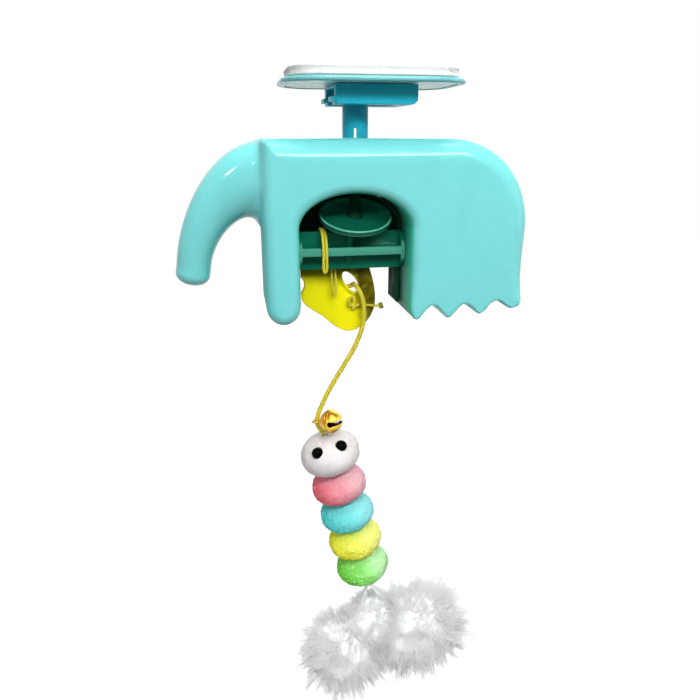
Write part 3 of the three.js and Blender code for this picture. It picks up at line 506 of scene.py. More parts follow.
def head_look():
    look = Look("head_foam", (227, 222, 222), 0.55, 0.25, Subsurface_Weight=0.1, Subsurface_Scale=0.002)
    look.tint((200, 188, 189), look.span(look.noise(2.0, 5, 0.6), 0.52, 0.8, 0, 0.5))
    look.bump(look.sum(look.noise(0.8, 4), look.noise(2.6, 2)), 0.12)
    return look


def thread_look(name, colour, dark):
    look = Look(name, colour, 0.7, 0.2)
    look.tint(dark, look.span(look.noise(0.5, 3, 0.6, (1, 1, 0.3)), 0.5, 0.75, 0, 0.6))
    look.bump(look.noise(0.35, 3, 0.6, (1, 1, 0.35)), 0.06)
    return look


def fur_look(name, colour):
    look = Look(name, colour, 0.6, 0.2, Sheen_Weight=0.5, Sheen_Roughness=0.5)
    look.tint((242, 244, 246), look.span(look.noise(1.6, 4, 0.6), 0.5, 0.72, 0, 0.5))
    look.bump(look.noise(0.4, 3), 0.05)
    return look


def eye_look():
    look = Look("eye_black", (1, 1, 1), 0.06, 0.03)
    look.tint((6, 6, 7), look.span(look.noise(0.8, 3), 0.5, 0.8, 0, 0.4))
    look.bump(look.noise(0.5, 2), 0.002)
    return look


PAD, STEEL, GOLD, TAG, EYE, HEAD = pad_look(), steel_look(), gold_look(), tag_look(), eye_look(), head_look()
THREAD = thread_look("thread", (226, 222, 216), (150, 140, 128))
STRAP = thread_look("strap", (246, 247, 247), (214, 217, 218))
CORD = cord_look("cord_yellow", (230, 216, 60), (128, 112, 24))
# Painted shade: the knots are the cord, darker for the shade they hang in behind and beside the tag
KNOT_SHADED = cord_look("cord_knot", (160, 162, 58), (98, 100, 30))
FUR = fur_look("fur_white", (254, 255, 255))
UNDERFUR = fur_look("underfur", (250, 251, 251))


# Cords: their points are measured from the post's axis
BAR_LOOP = [
    (-12.45, 7.5, -68.3), (-12.45, 7.5, -65.4), (-12.45, 7.5, -61.8), (-12.45, 7.3, -57.4),
    (-12.45, 4.4, -53.6), (-12.45, 0.2, -52.2), (-12.45, -4.2, -53.4), (-12.45, -7.4, -57.2),
    (-12.45, -7.6, -61.2), (-12.5, -7.5, -65.0), (-12.4, -7.5, -65.9), (-11.9, -7.5, -66.5),
    (-11.4, -7.5, -65.9), (-11.3, -7.5, -65.0), (-11.35, -7.6, -61.2), (-11.35, -7.4, -57.2),
    (-11.35, -4.2, -53.4), (-11.35, 0.2, -52.2), (-11.35, 4.4, -53.6), (-11.35, 7.3, -57.4),
    (-11.35, 7.5, -61.8), (-11.35, 7.5, -65.4), (-11.35, 7.5, -68.3),
]
LEAF_LOOP = [
    (-8.2, 2.3, -61.5), (-8.2, 2.4, -66.4), (-8.3, 1.9, -69.8), (-8.4, 1.2, -73.2), (-8.2, 0.9, -75.8),
    (-7.6, 0.85, -77.0), (-7.0, 0.9, -75.8), (-6.8, 1.2, -73.2), (-6.9, 1.9, -69.8), (-7.0, 2.4, -66.4),
    (-7.0, 2.3, -61.5),
]
LEAD = [
    (-9.9, 8.2, -71.6), (-8.1, 8.1, -73.0), (-5.4, 8.0, -74.9), (-2.2, 8.2, -75.5), (0.3, 8.2, -74.9),
    (0.9, 7.4, -74.2), (1.05, 5.8, -74.1),
]
MAIN = [
    (1.05, 4.6, -74.1), (1.05, 3.5, -74.1), (1.5, 1.9, -74.9), (2.6, 0.9, -77.0), (3.4, 0.5, -79.8),
    (3.6, 0.2, -83.4), (3.2, 0.1, -88.1), (2.0, 0, -92.2), (0.2, 0, -96.6), (-3.2, 0, -102.6),
    (-7.2, 0, -109.1), (-10.4, 0, -114.8), (-12.8, 0, -119.9), (-14.4, 0, -123.8), (-14.8, 0, -127.3),
    (-13.6, 0, -130.4), (-12.01, 0, -132.12),
]
FREE_END = [
    (1.9, 2.4, -81.1), (3.4, 2.5, -81.3), (5.6, 2.5, -81.5), (7.4, 2.4, -81.8), (9.0, 2.3, -81.9),
    (9.8, 2.25, -81.9),
]
KNOT_TAIL = [(-0.4, 2.4, -82.6), (0.6, 2.3, -81.9), (1.8, 2.3, -81.1)]
HITCH_PLACE, END_KNOT_PLACE, FRONT_KNOT_PLACE = (-12.2, 8.5, -70.7), (10.5, 2.2, -81.9), (-0.8, 2.3, -80.0)
CORD_RADIUS, LOOP_RADIUS, LEAF_RADIUS, FRONT_KNOT_RADIUS = 0.88, 0.5, 0.42, 0.62


def from_post(points):
    """Points measured from the post's axis, in the shared frame."""
    return np.array(points, float) + [POST_X, 0, 0]


def declare(line):
    length = float(np.linalg.norm(np.diff(line, axis=0), axis=1).sum())


def yellow_cord(name, line, radius, **settings):
    return put(tube(name, line, radius, **settings), CORD)


def trefoil(name, centre, size, radius, turn):
    """A tight overhand knot, turned about X and Y."""
    t = full_turn(72)
    x, y, z = np.sin(t) + 2 * np.sin(2 * t), np.cos(t) - 2 * np.cos(2 * t), -1.15 * np.sin(3 * t)
    line = np.column_stack([x, y, z]) / 3
    turn = Matrix.Rotation(math.radians(turn[0]), 3, "X") @ Matrix.Rotation(math.radians(turn[1]), 3, "Y")
    return tube(name, line @ np.array(turn).T * size + centre, radius, 10, closed=True)


def make_cords():
    bar_line = smooth_route(from_post(BAR_LOOP))
    bar_loop = seat(yellow_cord("cord_round_bar", bar_line, LOOP_RADIUS), "elephant", "cord_bar_loop")
    hitch = put(trefoil("knot_behind_tag", from_post(HITCH_PLACE), 1.5, 0.72, (80, 10)), KNOT_SHADED)
    seat(hitch, "tag", "hitch_knot")
    declare(bar_line)

    leaf_line = smooth_route(from_post(LEAF_LOOP), 8)
    leaf = seat(yellow_cord("cord_small_loop", leaf_line, LEAF_RADIUS), "elephant", "cord_leaf_loop")
    declare(leaf_line)

    main_line = smooth_route(from_post(LEAD + MAIN))
    main = yellow_cord("cord_to_lure", main_line, CORD_RADIUS)
    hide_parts("cord_lead", "cord_main")
    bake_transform(main)

    free = yellow_cord("cord_short_end", smooth_route(from_post(FREE_END)), LOOP_RADIUS)
    seat(free, "tag", "cord_free_end")
    knot = put(trefoil("knot_on_end", from_post(END_KNOT_PLACE), 0.95, 0.5, (20, 70)), KNOT_SHADED)
    seat(knot, "tag", "end_knot")

    t = full_turn(48)
    ring = np.column_stack([1.15 * np.cos(t), 0.12 * np.sin(2 * t), 1.75 * np.sin(t) - 0.35 * np.cos(2 * t)])
    ring = ring + from_post(FRONT_KNOT_PLACE)
    seat(yellow_cord("knot_before_tag", ring, FRONT_KNOT_RADIUS, sides=12, closed=True), "tag", "front_knot")
    tail_line = smooth_route(from_post(KNOT_TAIL), 8)
    seat(yellow_cord("knot_tail", tail_line, FRONT_KNOT_RADIUS, sides=12, tips=0.4), "tag")
    declare(main_line)


make_cords()

# Plate
PLATE_LENGTH, PLATE_DEPTH, PLATE_CORNER = 61, 43, 14
PAD_INSET, PAD_THICKNESS, PAD_EDGE, PAD_WAIST = 2.4, 3.1, 0.45, 0.25
RIM_WIDTH, RIM_TOP, RIM_BOTTOM, RIM_EDGE = 2.6, -3.4, -5.0, 0.75
PANEL_INSET, PANEL_TOP, PANEL_BOTTOM, PANEL_EDGE = 2.9, -3.5, -4.8, 0.25


def rounded_outline(inset, z, steps=14):
    """The plate's outline, drawn in by inset."""
    half_x, half_y = PLATE_LENGTH / 2 - inset, PLATE_DEPTH / 2 - inset
    corner = PLATE_CORNER - inset
    points = []
    for cx, cy, start in ((1, -1, -90), (1, 1, 0), (-1, 1, 90), (-1, -1, 180)):
        for a in np.radians(np.linspace(start, start + 90, steps + 1)):
            x = cx * (half_x - corner) + corner * math.cos(a)
            points.append((x, cy * (half_y - corner) + corner * math.sin(a), z))
    return np.array(points)


def plate_piece(name, profile, look, node, sharp_from, closed=False):
    obj = lofted(name, [rounded_outline(inset, z) for inset, z in profile], closed=closed)
    put(obj, look)
    sharpen(obj, sharp_from)
    return seat(obj, "mount", node)


def make_plate():
    quarter = np.radians(np.linspace(0, 90, 6))
    side = PAD_THICKNESS - 2 * PAD_EDGE
    profile = [
        (PAD_INSET + 2 * PAD_EDGE * (1 - math.sin(a)), -PAD_THICKNESS + PAD_EDGE * (1 - math.cos(a)))
        for a in quarter
    ]
    profile += [
        (PAD_INSET + PAD_WAIST * math.sin(math.pi * share), -PAD_THICKNESS + PAD_EDGE + side * share)
        for share in (0.25, 0.5, 0.75)
    ]
    profile += [(PAD_INSET + PAD_EDGE * (1 - math.cos(a)), PAD_EDGE * (math.sin(a) - 1)) for a in quarter]
    pad = plate_piece("foam_pad", profile, PAD, "adhesive_pad", 60)

    profile = [(RIM_WIDTH, RIM_BOTTOM), (RIM_WIDTH, RIM_TOP)]
    profile += [(RIM_EDGE * (1 - math.sin(a)), RIM_TOP - RIM_EDGE * (1 - math.cos(a))) for a in quarter]
    profile += [(RIM_EDGE * (1 - math.cos(a)), RIM_BOTTOM + RIM_EDGE * (1 - math.sin(a))) for a in quarter]
    plate_piece("rim_band", profile, RIM, "plate_rim", 50, closed=True)

    profile = [(PANEL_INSET + 0.7, PANEL_BOTTOM), (PANEL_INSET + 0.3, PANEL_BOTTOM)]
    profile += [(PANEL_INSET, PANEL_BOTTOM + PANEL_EDGE), (PANEL_INSET, PANEL_TOP)]
    plate_piece("white_panel", profile, PLATE, "plate_panel", 30)


make_plate()


def dress_node(name, look, bevel=0.0):
    """A CAD node that stays, with its edges eased and a material."""
    node = NODES[name]
    put(node, look)
    weld = node.modifiers.new("weld", "WELD")
    weld.merge_threshold = 0.00001
    if bevel:
        ease_edges(node, bevel, 40)
    sharpen(node)


dress_node("rail_housing", RAIL_PAINTED_LIGHT, 0.25)
dress_node("slide_post", TEAL, 0.12)
# The pin wears the lining's painted shade, to sink into the dark above the dish
dress_node("locking_pin", SHADE_LINING)
dress_node("cross_bar", BAR, 0.22)
for i in (1, 2, 3):
    dress_node(f"shell_screw_{i}", STEEL)

# Elephant body: a slab with rounded edges, and a trunk that flows out of it
BODY_TOP, BODY_LEFT, BODY_RIGHT, HALF_DEPTH = -21.5, -33.0, 60.0, 16.0
RUMP_LENGTH, RUMP_DROP, RUMP_TAPER = 28.5, 30.0, 0.8
ARCH_CENTRE, ARCH_HALF, ARCH_SPRING, ARCH_RISE = -2.0, 19.3, -51.0, 11.9
LEG_BOTTOM, LEG_TIP = -83.4, 6.2
TOOTH_TIP, TOOTH_RISE, TOOTH_DEPTH, TOOTH_COUNT = -83.2, 2.8, 5.2, 3
TOOTH_INSET, TOOTH_FLANK, HEEL, HEEL_LENGTH = 2.2, 5.6, 3.6, 4.2
TOOTH_FADE_SHARE, TOOTH_SHARPNESS = 0.3, 1.8
FIRST_TOOTH = ARCH_CENTRE + ARCH_HALF + TOOTH_INSET
LAST_TOOTH = BODY_RIGHT - RUMP_TAPER - HEEL_LENGTH
TOOTH_PITCH = (LAST_TOOTH - FIRST_TOOTH) / TOOTH_COUNT
TOP_CORNER, NECK_END = 1.6, -48
TOP_FILLET, RUMP_FILLET, CORNER_FILLET, NECK_FILLET, SIDE_FILLET = 7.5, 7.0, 4.0, 3.6, 4.0
LEG_FILLET, ARCH_FILLET, TOOTH_FILLET = 3.7, 3.4, 0.9

# The trunk's outer and inner curves are quarter ellipses about these centres, a little flattened midway
OUTER_CENTRE, OUTER_REACH, OUTER_RISE, OUTER_FLAT = (-34.0, -63.2), 29.0, 40.8, 2.1
INNER_CENTRE, INNER_REACH, INNER_RISE, INNER_FLAT = (-36.0, -65.5), 15.3, 18.5, 1.0
ROOT_HALF_DEPTH, TIP_HALF_DEPTH, TAPER_POWER = 12.4, 6.4, 0.8
OUTER_POWER, OUTER_POWER_LOSS, INNER_POWER = 3.2, 1.1, 2.1
TIP_START, TIP_CAP, ROUGH_CAP, ROOT_OVERLAP = 2.4, 4.0, 4.6, 7.0
TOP_BLEND, UNDER_BLEND, BLEND_FROM, BLEND_OVER = 2.6, 4.9, -40.0, 8.0
TRUNK_ANGLES = np.linspace(0, math.pi / 2, 160)


def arc(cx, cz, rx, rz, start, end, steps):
    a = np.radians(np.linspace(start, end, steps + 1))
    return np.column_stack([cx + rx * np.cos(a), cz + rz * np.sin(a)])


def straight(a, b, step=2.0):
    count = max(int(math.dist(a, b) / step), 1)
    return np.array([np.array(a) + (np.array(b) - np.array(a)) * i / count for i in range(count + 1)])


def tooth_line(x):
    share = (x - FIRST_TOOTH) / (LAST_TOOTH - FIRST_TOOTH)
    wave = abs(math.sin(math.pi * (x - FIRST_TOOTH) / TOOTH_PITCH)) ** TOOTH_SHARPNESS
    return TOOTH_TIP + TOOTH_RISE * share**2 + TOOTH_DEPTH * (1 - TOOTH_FADE_SHARE * share) * wave


def body_outline():
    """The body seen from the front, counterclockwise, with the fillet of its edge at each point."""
    corner = TOP_CORNER
    rump_x, rump_z = BODY_RIGHT - RUMP_LENGTH, BODY_TOP - RUMP_DROP
    left_wall, right_wall = ARCH_CENTRE - ARCH_HALF, ARCH_CENTRE + ARCH_HALF
    leg_half = (left_wall - BODY_LEFT) / 2
    leg_z = LEG_BOTTOM + LEG_TIP
    first, last = FIRST_TOOTH, LAST_TOOTH
    flank_z, heel_z, heel_x = TOOTH_TIP + TOOTH_FLANK, tooth_line(last) + HEEL, BODY_RIGHT - RUMP_TAPER
    teeth = [(x, tooth_line(x)) for x in np.linspace(first, last, TOOTH_COUNT * 20 + 1)]
    parts = [
        (straight((rump_x, BODY_TOP), (BODY_LEFT + corner, BODY_TOP)), TOP_FILLET),
        (arc(BODY_LEFT + corner, BODY_TOP - corner, corner, corner, 90, 180, 8), CORNER_FILLET),
        (straight((BODY_LEFT, BODY_TOP - corner), (BODY_LEFT, NECK_END)), NECK_FILLET),
        (straight((BODY_LEFT, NECK_END), (BODY_LEFT, leg_z)), SIDE_FILLET),
        (arc(BODY_LEFT + leg_half, leg_z, leg_half, LEG_TIP, 180, 360, 28), LEG_FILLET),
        (straight((left_wall, leg_z), (left_wall, ARCH_SPRING)), ARCH_FILLET),
        (arc(ARCH_CENTRE, ARCH_SPRING, ARCH_HALF, ARCH_RISE, 180, 0, 48), ARCH_FILLET),
        (straight((right_wall, ARCH_SPRING), (right_wall, flank_z)), ARCH_FILLET),
        (arc(first, flank_z, TOOTH_INSET, TOOTH_FLANK, 180, 270, 8)[:-1], TOOTH_FILLET),
        (np.array(teeth), TOOTH_FILLET),
        (arc(last, heel_z, heel_x - last, HEEL, 270, 360, 8), TOOTH_FILLET),
        (straight((heel_x, heel_z), (BODY_RIGHT, rump_z)), RUMP_FILLET),
        (arc(rump_x, rump_z, RUMP_LENGTH, RUMP_DROP, 0, 90, 36), RUMP_FILLET),
    ]
    points = np.vstack([p for p, _ in parts])
    fillets = np.concatenate([np.full(len(p), r) for p, r in parts])
    keep = np.linalg.norm(points - np.roll(points, 1, 0), axis=1) > 0.05
    points, fillets = points[keep], fillets[keep]
    for _ in range(14):
        fillets = (np.roll(fillets, 1) + 2 * fillets + np.roll(fillets, -1)) / 4
    return points, fillets


OUTLINE, FILLETS = body_outline()


def in_batches(distance, p, size):
    return np.concatenate([distance(p[i : i + size]) for i in range(0, len(p), size)])


def slab_distance(p):
    """Signed distance of points to the slab with rounded edges."""
    q = p[:, None, [0, 2]]
    a, b = OUTLINE, np.roll(OUTLINE, -1, 0)
    d = b - a
    rel = q - a
    t = np.clip((rel * d).sum(2) / (d * d).sum(1), 0, 1)
    off = rel - t[..., None] * d
    squares = (off * off).sum(2)
    best = squares.argmin(1)
    row = np.arange(len(best))
    share = t[row, best]
    radius = FILLETS[best] * (1 - share) + np.roll(FILLETS, -1)[best] * share
    x, z, za, zb = q[..., 0], q[..., 1], a[:, 1], b[:, 1]
    with np.errstate(divide="ignore", invalid="ignore"):
        at = a[:, 0] + (z - za) / (zb - za) * d[:, 0]
    inside = (((za > z) != (zb > z)) & (x < at)).sum(1) % 2 == 1
    flat = np.sqrt(squares[row, best])
    px = np.where(inside, -flat, flat) + radius
    py = np.abs(p[:, 1]) - HALF_DEPTH + radius
    return np.minimum(np.maximum(px, py), 0) + np.hypot(np.maximum(px, 0), np.maximum(py, 0)) - radius


def trunk_sections(angles):
    """Centre, unit vector across, half width and half depth of the trunk's sections."""
    bulge, sine, cosine = np.sin(2 * angles), np.sin(angles), np.cos(angles)

    def curve(centre, reach, rise, flat):
        x = centre[0] - (reach - flat * bulge) * sine
        return np.column_stack([x, centre[1] + (rise - flat * bulge) * cosine])

    outer = curve(OUTER_CENTRE, OUTER_REACH, OUTER_RISE, OUTER_FLAT)
    inner = curve(INNER_CENTRE, INNER_REACH, INNER_RISE, INNER_FLAT)
    across = outer - inner
    width = np.linalg.norm(across, axis=1)
    depth = ROOT_HALF_DEPTH + (TIP_HALF_DEPTH - ROOT_HALF_DEPTH) * (angles / (math.pi / 2)) ** TAPER_POWER
    return (outer + inner) / 2, across / width[:, None], width / 2, depth


def trunk_distance(p):
    """Signed distance of points to the trunk, whose sections are superellipses."""
    centre, across, width, depth = trunk_sections(TRUNK_ANGLES)
    normal = np.column_stack([-across[:, 1], across[:, 0]])
    normal *= np.sign(-normal[:, 0:1] + 1e-9)
    last = len(centre) - 1
    q = p[:, [0, 2]]
    rel = q[:, None] - centre
    ahead = (rel * normal).sum(2)
    aside = np.abs((rel * across).sum(2))
    best = np.where(aside < 26, np.abs(ahead), 1e6 + np.abs(ahead)).argmin(1)
    row = np.arange(len(best))
    # Between two samples, the place where the section passes through the point
    following = np.clip(best + np.where(ahead[row, best] > 0, 1, -1), 0, last)
    f0, f1 = ahead[row, best], ahead[row, following]
    w = np.where(np.abs(f0 - f1) > 1e-9, np.clip(f0 / (f0 - f1 + 1e-12), 0, 1), 0)

    def there(values):
        share = w if values.ndim == 1 else w[:, None]
        return values[best] * (1 - share) + values[following] * share

    way = there(across)
    way /= np.linalg.norm(way, axis=1)[:, None]
    half_width, half_depth = there(width), there(depth)
    u = ((q - there(centre)) * way).sum(1)
    tip = np.where(best == last, np.maximum(f0 - TIP_START, 0), 0)
    power = np.where(u > 0, OUTER_POWER - OUTER_POWER_LOSS * best / len(centre), INNER_POWER)
    du, dv, dt = np.abs(u / half_width) + 1e-6, np.abs(p[:, 1] / half_depth) + 1e-6, tip / TIP_CAP + 1e-6
    k = (du**power + dv**power + dt**power) ** (1 / power)
    less = power - 1
    slope = np.sqrt((du**less / half_width) ** 2 + (dv**less / half_depth) ** 2 + (dt**less / TIP_CAP) ** 2)
    root = np.where(best == 0, -f0 - ROOT_OVERLAP, -1e6)
    return np.maximum((k - 1) / (slope * k**-less + 1e-9), root)


def body_distance(p):
    """Signed distance to slab and trunk together, with a wider fillet between them under the top."""
    a, b = in_batches(slab_distance, p, 4000), in_batches(trunk_distance, p, 8000)
    low = np.clip((BLEND_FROM - p[:, 2]) / BLEND_OVER, 0, 1)
    blend = TOP_BLEND + UNDER_BLEND * low * low * (3 - 2 * low)
    h = np.maximum(blend - np.abs(a - b), 0) / blend
    return np.minimum(a, b) - h * h * blend / 4


def start_body():
    """A rough body to draw onto the smooth surface."""
    before, after = np.roll(OUTLINE, 1, 0), np.roll(OUTLINE, -1, 0)
    along = (after - before) / np.linalg.norm(after - before, axis=1)[:, None]
    inwards = np.column_stack([-along[:, 1], along[:, 0]])
    rings = []
    for side, angles in ((-1, np.linspace(90, 0, 6)), (1, np.linspace(0, 90, 6))):
        for turn in np.radians(angles):
            y = side * (HALF_DEPTH - FILLETS * (1 - math.sin(turn)))
            flat = OUTLINE + inwards * (FILLETS * (1 - math.cos(turn)))[:, None] * 0.8
            rings.append(np.column_stack([flat[:, 0], y, flat[:, 1]]))
    slab = lofted("slab", rings)

    sections = list(zip(*trunk_sections(np.linspace(0, math.pi / 2, 24))))
    t = full_turn(40)

    def ring(section, scale=1.0, shift=(0, 0)):
        centre, across, width, depth = section
        flat = centre + across * (width * scale * np.cos(t))[:, None] + shift
        return np.column_stack([flat[:, 0], depth * scale * np.sin(t), flat[:, 1]])

    rings = [ring(sections[0], shift=(ROOT_OVERLAP, 0))] + [ring(section) for section in sections]
    for turn in np.radians((20, 40, 60, 75)):
        rings.append(ring(sections[-1], math.cos(turn), (0, -ROUGH_CAP * math.sin(turn))))
    return boolean(slab, lofted("trunk", rings), "UNION")


def drawn_onto_body(p):
    """The points, moved step by step onto the body's surface."""
    probe, furthest, least_slope = 0.02, 1.5, 0.3
    for _ in range(4):
        here = body_distance(p)
        slope = np.column_stack([(body_distance(p + way * probe) - here) / probe for way in np.eye(3)])
        move = -(here / np.maximum((slope**2).sum(1), least_slope))[:, None] * slope
        reach = np.linalg.norm(move, axis=1)
        p = p + move * np.minimum(1, furthest / np.maximum(reach, 1e-9))[:, None]
    return p


BAR_MIDDLE, BAR_HOLE_RADIUS, BAR_HOLE_DEPTH = -59.9, 2.7, 2.6
SCREW_PLACES = ((-26, -31), (30, -31.5), (46, -62))
POST_HOLE_RADIUS, POST_HOLE_BOTTOM, PIN_HOLE_RADIUS, PIN_HOLE_BOTTOM = 4.7, -26.5, 2.2, -45
COUNTERBORE_RADIUS, COUNTERBORE_START, SCREW_HOLE_RADIUS, SCREW_HOLE_END = 2.8, 6.7, 1.6, -11.6
SHELL_GAP = 0.06


def body_holes():
    """Tools for the holes of the post, the pin, the bar and the screws."""
    x = POST_X + ARCH_CENTRE
    reach = ARCH_HALF + BAR_HOLE_DEPTH
    holes = [
        cylinder("hole", POST_HOLE_RADIUS, (POST_X, 0, POST_HOLE_BOTTOM), (POST_X, 0, -15), 64),
        cylinder("hole", PIN_HOLE_RADIUS, (POST_X, 0, PIN_HOLE_BOTTOM), (POST_X, 0, -26)),
        cylinder("hole", BAR_HOLE_RADIUS, (x - reach, 0, BAR_MIDDLE), (x + reach, 0, BAR_MIDDLE)),
    ]
    for x, z in SCREW_PLACES:
        x += POST_X
        holes.append(cylinder("hole", COUNTERBORE_RADIUS, (x, COUNTERBORE_START, z), (x, 18, z)))
        holes.append(cylinder("hole", SCREW_HOLE_RADIUS, (x, SCREW_HOLE_END, z), (x, 7, z)))
    return holes


def make_body():
    body = start_body()
    remesh = body.modifiers.new("remesh", "REMESH")
    remesh.mode = "VOXEL"
    remesh.voxel_size = 0.8 * MM
    apply_modifiers(body)
    mesh = body.data
    places = np.empty(len(mesh.vertices) * 3, np.float32)
    mesh.vertices.foreach_get("co", places)
    places = from_post(drawn_onto_body(places.reshape(-1, 3).astype(float) / MM))
    mesh.vertices.foreach_set("co", (places * MM).astype(np.float32).ravel())
    mesh.update()
    for hole in body_holes():
        boolean(body, hole)

    other = link(body.copy())
    other.data = body.data.copy()
    boolean(body, block("half", (-200, -60, -200), (200, -SHELL_GAP, 100)), "INTERSECT")
    boolean(other, block("half", (-200, SHELL_GAP, -200), (200, 60, 100)), "INTERSECT")
    for obj, name, node in ((body, "shell_front", "front_shell"), (other, "shell_back", "back_shell")):
        obj.name = obj.data.name = name
        put(obj, SHELL)
        sharpen(obj, 40)
        seat(obj, "elephant", node)


make_body()

# Liner and dish of the arch
LINER_GAP, LINER_WALL, LINER_FRONT, LINER_BACK, LINER_BOTTOM = 0.3, 1.0, 0.3, 14.4, -80.3
LINER_WEB, LINER_WEB_BOTTOM, BELOW_LINER = 1.2, -62, -83
BAR_NOTCH_BOTTOM, BAR_NOTCH_TOP, BAR_NOTCH_BACK = -66.9, -52.9, 7
DISC_HEIGHT, DISC_LEAN, DISC_RADIUS, DISC_EDGE, BALL_SEAT_RADIUS = -49.1, 22, 12.9, 0.4, 3.3


def arch_prism(name, inset, bottom, y0, y1):
    """The arch's opening, drawn in by inset, as a solid between two depths."""
    half = ARCH_HALF - inset
    curve = arc(ARCH_CENTRE, ARCH_SPRING, half, ARCH_RISE - inset, 180, 0, 72)
    outline = np.vstack([[(ARCH_CENTRE - half, bottom)], curve, [(ARCH_CENTRE + half, bottom)]]) + [POST_X, 0]
    rings = [np.column_stack([outline[:, 0], np.full(len(outline), y), outline[:, 1]]) for y in (y0, y1)]
    return lofted(name, rings, smooth=False)


def make_liner():
    """The liner of the arch's back half, with the web that closes its top; its dark green is painted shade.
    """
    inner = LINER_GAP + LINER_WALL
    liner = arch_prism("arch_lining", LINER_GAP, LINER_BOTTOM, LINER_FRONT, LINER_BACK)
    boolean(liner, arch_prism("cut", inner, BELOW_LINER, -1, LINER_BACK - LINER_WEB))
    passage = arch_prism("cut", inner, BELOW_LINER, -1, LINER_BACK + 1.6)
    boolean(passage, block("cut", (-60, -2, -90), (60, 20, LINER_WEB_BOTTOM)), "INTERSECT")
    boolean(liner, passage)
    boolean(liner, block("cut", (-60, -2, BAR_NOTCH_BOTTOM), (60, BAR_NOTCH_BACK, BAR_NOTCH_TOP)))
    boolean(liner, cylinder("cut", PIN_HOLE_RADIUS, (POST_X, 0, PIN_HOLE_BOTTOM), (POST_X, 0, -36)))
    ease_edges(liner, 0.25, 45)
    apply_modifiers(liner)
    put(liner, SHADE_LINING)
    sharpen(liner, 40)
    seat(liner, "elephant", "arch_liner")


def make_disc():
    """A dish that leans forward, with a hub that holds the pin's ball end; heights from the ball's centre."""
    quarter = np.radians(np.linspace(0, 90, 5))
    edge, rim = DISC_EDGE, DISC_RADIUS - DISC_EDGE
    profile = [(2.46, -2.2), (4.2, -2.2), (5.0, -1.5), (5.2, -0.3), (6.4, -0.05), (11.5, 0.15)]
    profile += [(rim + edge * math.sin(a), 0.6 - edge * math.cos(a)) for a in quarter]
    profile += [(rim + edge * math.cos(a), 1.8 + edge * math.sin(a)) for a in quarter]
    profile += [(12.0, 2.1), (11.6, 1.75), (10.8, 1.25), (9.6, 1.1), (5.0, 1.1), (3.6, 1.2), (2.95, 1.35)]
    seat_turns = np.radians(np.linspace(23, -38, 9))
    profile += [(BALL_SEAT_RADIUS * math.cos(a), BALL_SEAT_RADIUS * math.sin(a)) for a in seat_turns]
    matrix = Matrix.Translation((POST_X, 0, DISC_HEIGHT)) @ Matrix.Rotation(math.radians(DISC_LEAN), 4, "X")
    disc = put(lathed("dish", profile, 128, matrix, closed=True), DISC)
    # The rounded edges of the rim get the painted highlight
    disc.data.materials.append(DISC_RIM_HIGHLIGHT.material)
    back = matrix.inverted()
    for poly in disc.data.polygons:
        spot = back @ (poly.center / MM)
        outer = math.hypot(spot.x, spot.y) > rim + 0.05
        poly.material_index = int(outer and (spot.z > 1.75 or spot.z < 0.65))
    sharpen(disc, 40)
    seat(disc, "elephant", "retaining_disc")


make_liner()
make_disc()

# Tag: its outline goes by shares of its width and length, through straights and Bezier curves
TAG_CORNER, TAG_WIDTH, TAG_LENGTH = (-19.4, -61.7), 28, 30
TAG_SHARES = [
    [0, 0], [0, 0.29], [0.06, 0.36, 0.06, 0.42, 0, 0.48], [0.01, 0.58], [0.07, 0.69, 0.2, 0.73, 0.29, 0.8],
    [0.39, 0.88, 0.5, 1, 0.65, 1], [0.81, 1, 1, 0.82, 1, 0.6], [1, 0.39, 0.93, 0.24, 0.85, 0],
]
TAG_MIDDLE, TAG_HALF, TAG_EDGE = 4.8, 1.2, 0.5
TAG_HOLE_PLACE, TAG_HOLE_WIDTH, TAG_HOLE_LENGTH, TAG_HOLE_LEAN = (-0.9, -72.6), 4.4, 9.6, 36
TAG_RIM, TAG_RIM_RADIUS, TAG_RIM_Y = 0.9, 0.55, 3.45


def bezier(a, b, c, d, steps=14):
    t = np.linspace(0, 1, steps + 1)[1:, None]
    return (1 - t) ** 3 * a + 3 * (1 - t) ** 2 * t * b + 3 * (1 - t) * t**2 * c + t**3 * d


def tag_outline():
    def spot(share_x, share_z):
        return np.array([TAG_CORNER[0] + POST_X + share_x * TAG_WIDTH, TAG_CORNER[1] - share_z * TAG_LENGTH])

    points = [spot(*TAG_SHARES[0])]
    for entry in TAG_SHARES[1:]:
        if len(entry) == 2:
            points.extend(straight(points[-1], spot(*entry), 2.5)[1:])
        else:
            points.extend(bezier(points[-1], *(spot(*entry[k : k + 2]) for k in (0, 2, 4))))
    return np.array(points)


def tag_oval(width, length):
    turns = full_turn(72)
    sine, cosine = math.sin(math.radians(TAG_HOLE_LEAN)), math.cos(math.radians(TAG_HOLE_LEAN))
    x, z = width / 2 * np.cos(turns), length / 2 * np.sin(turns)
    return np.column_stack([x * cosine - z * sine, x * sine + z * cosine]) + TAG_HOLE_PLACE + [POST_X, 0]


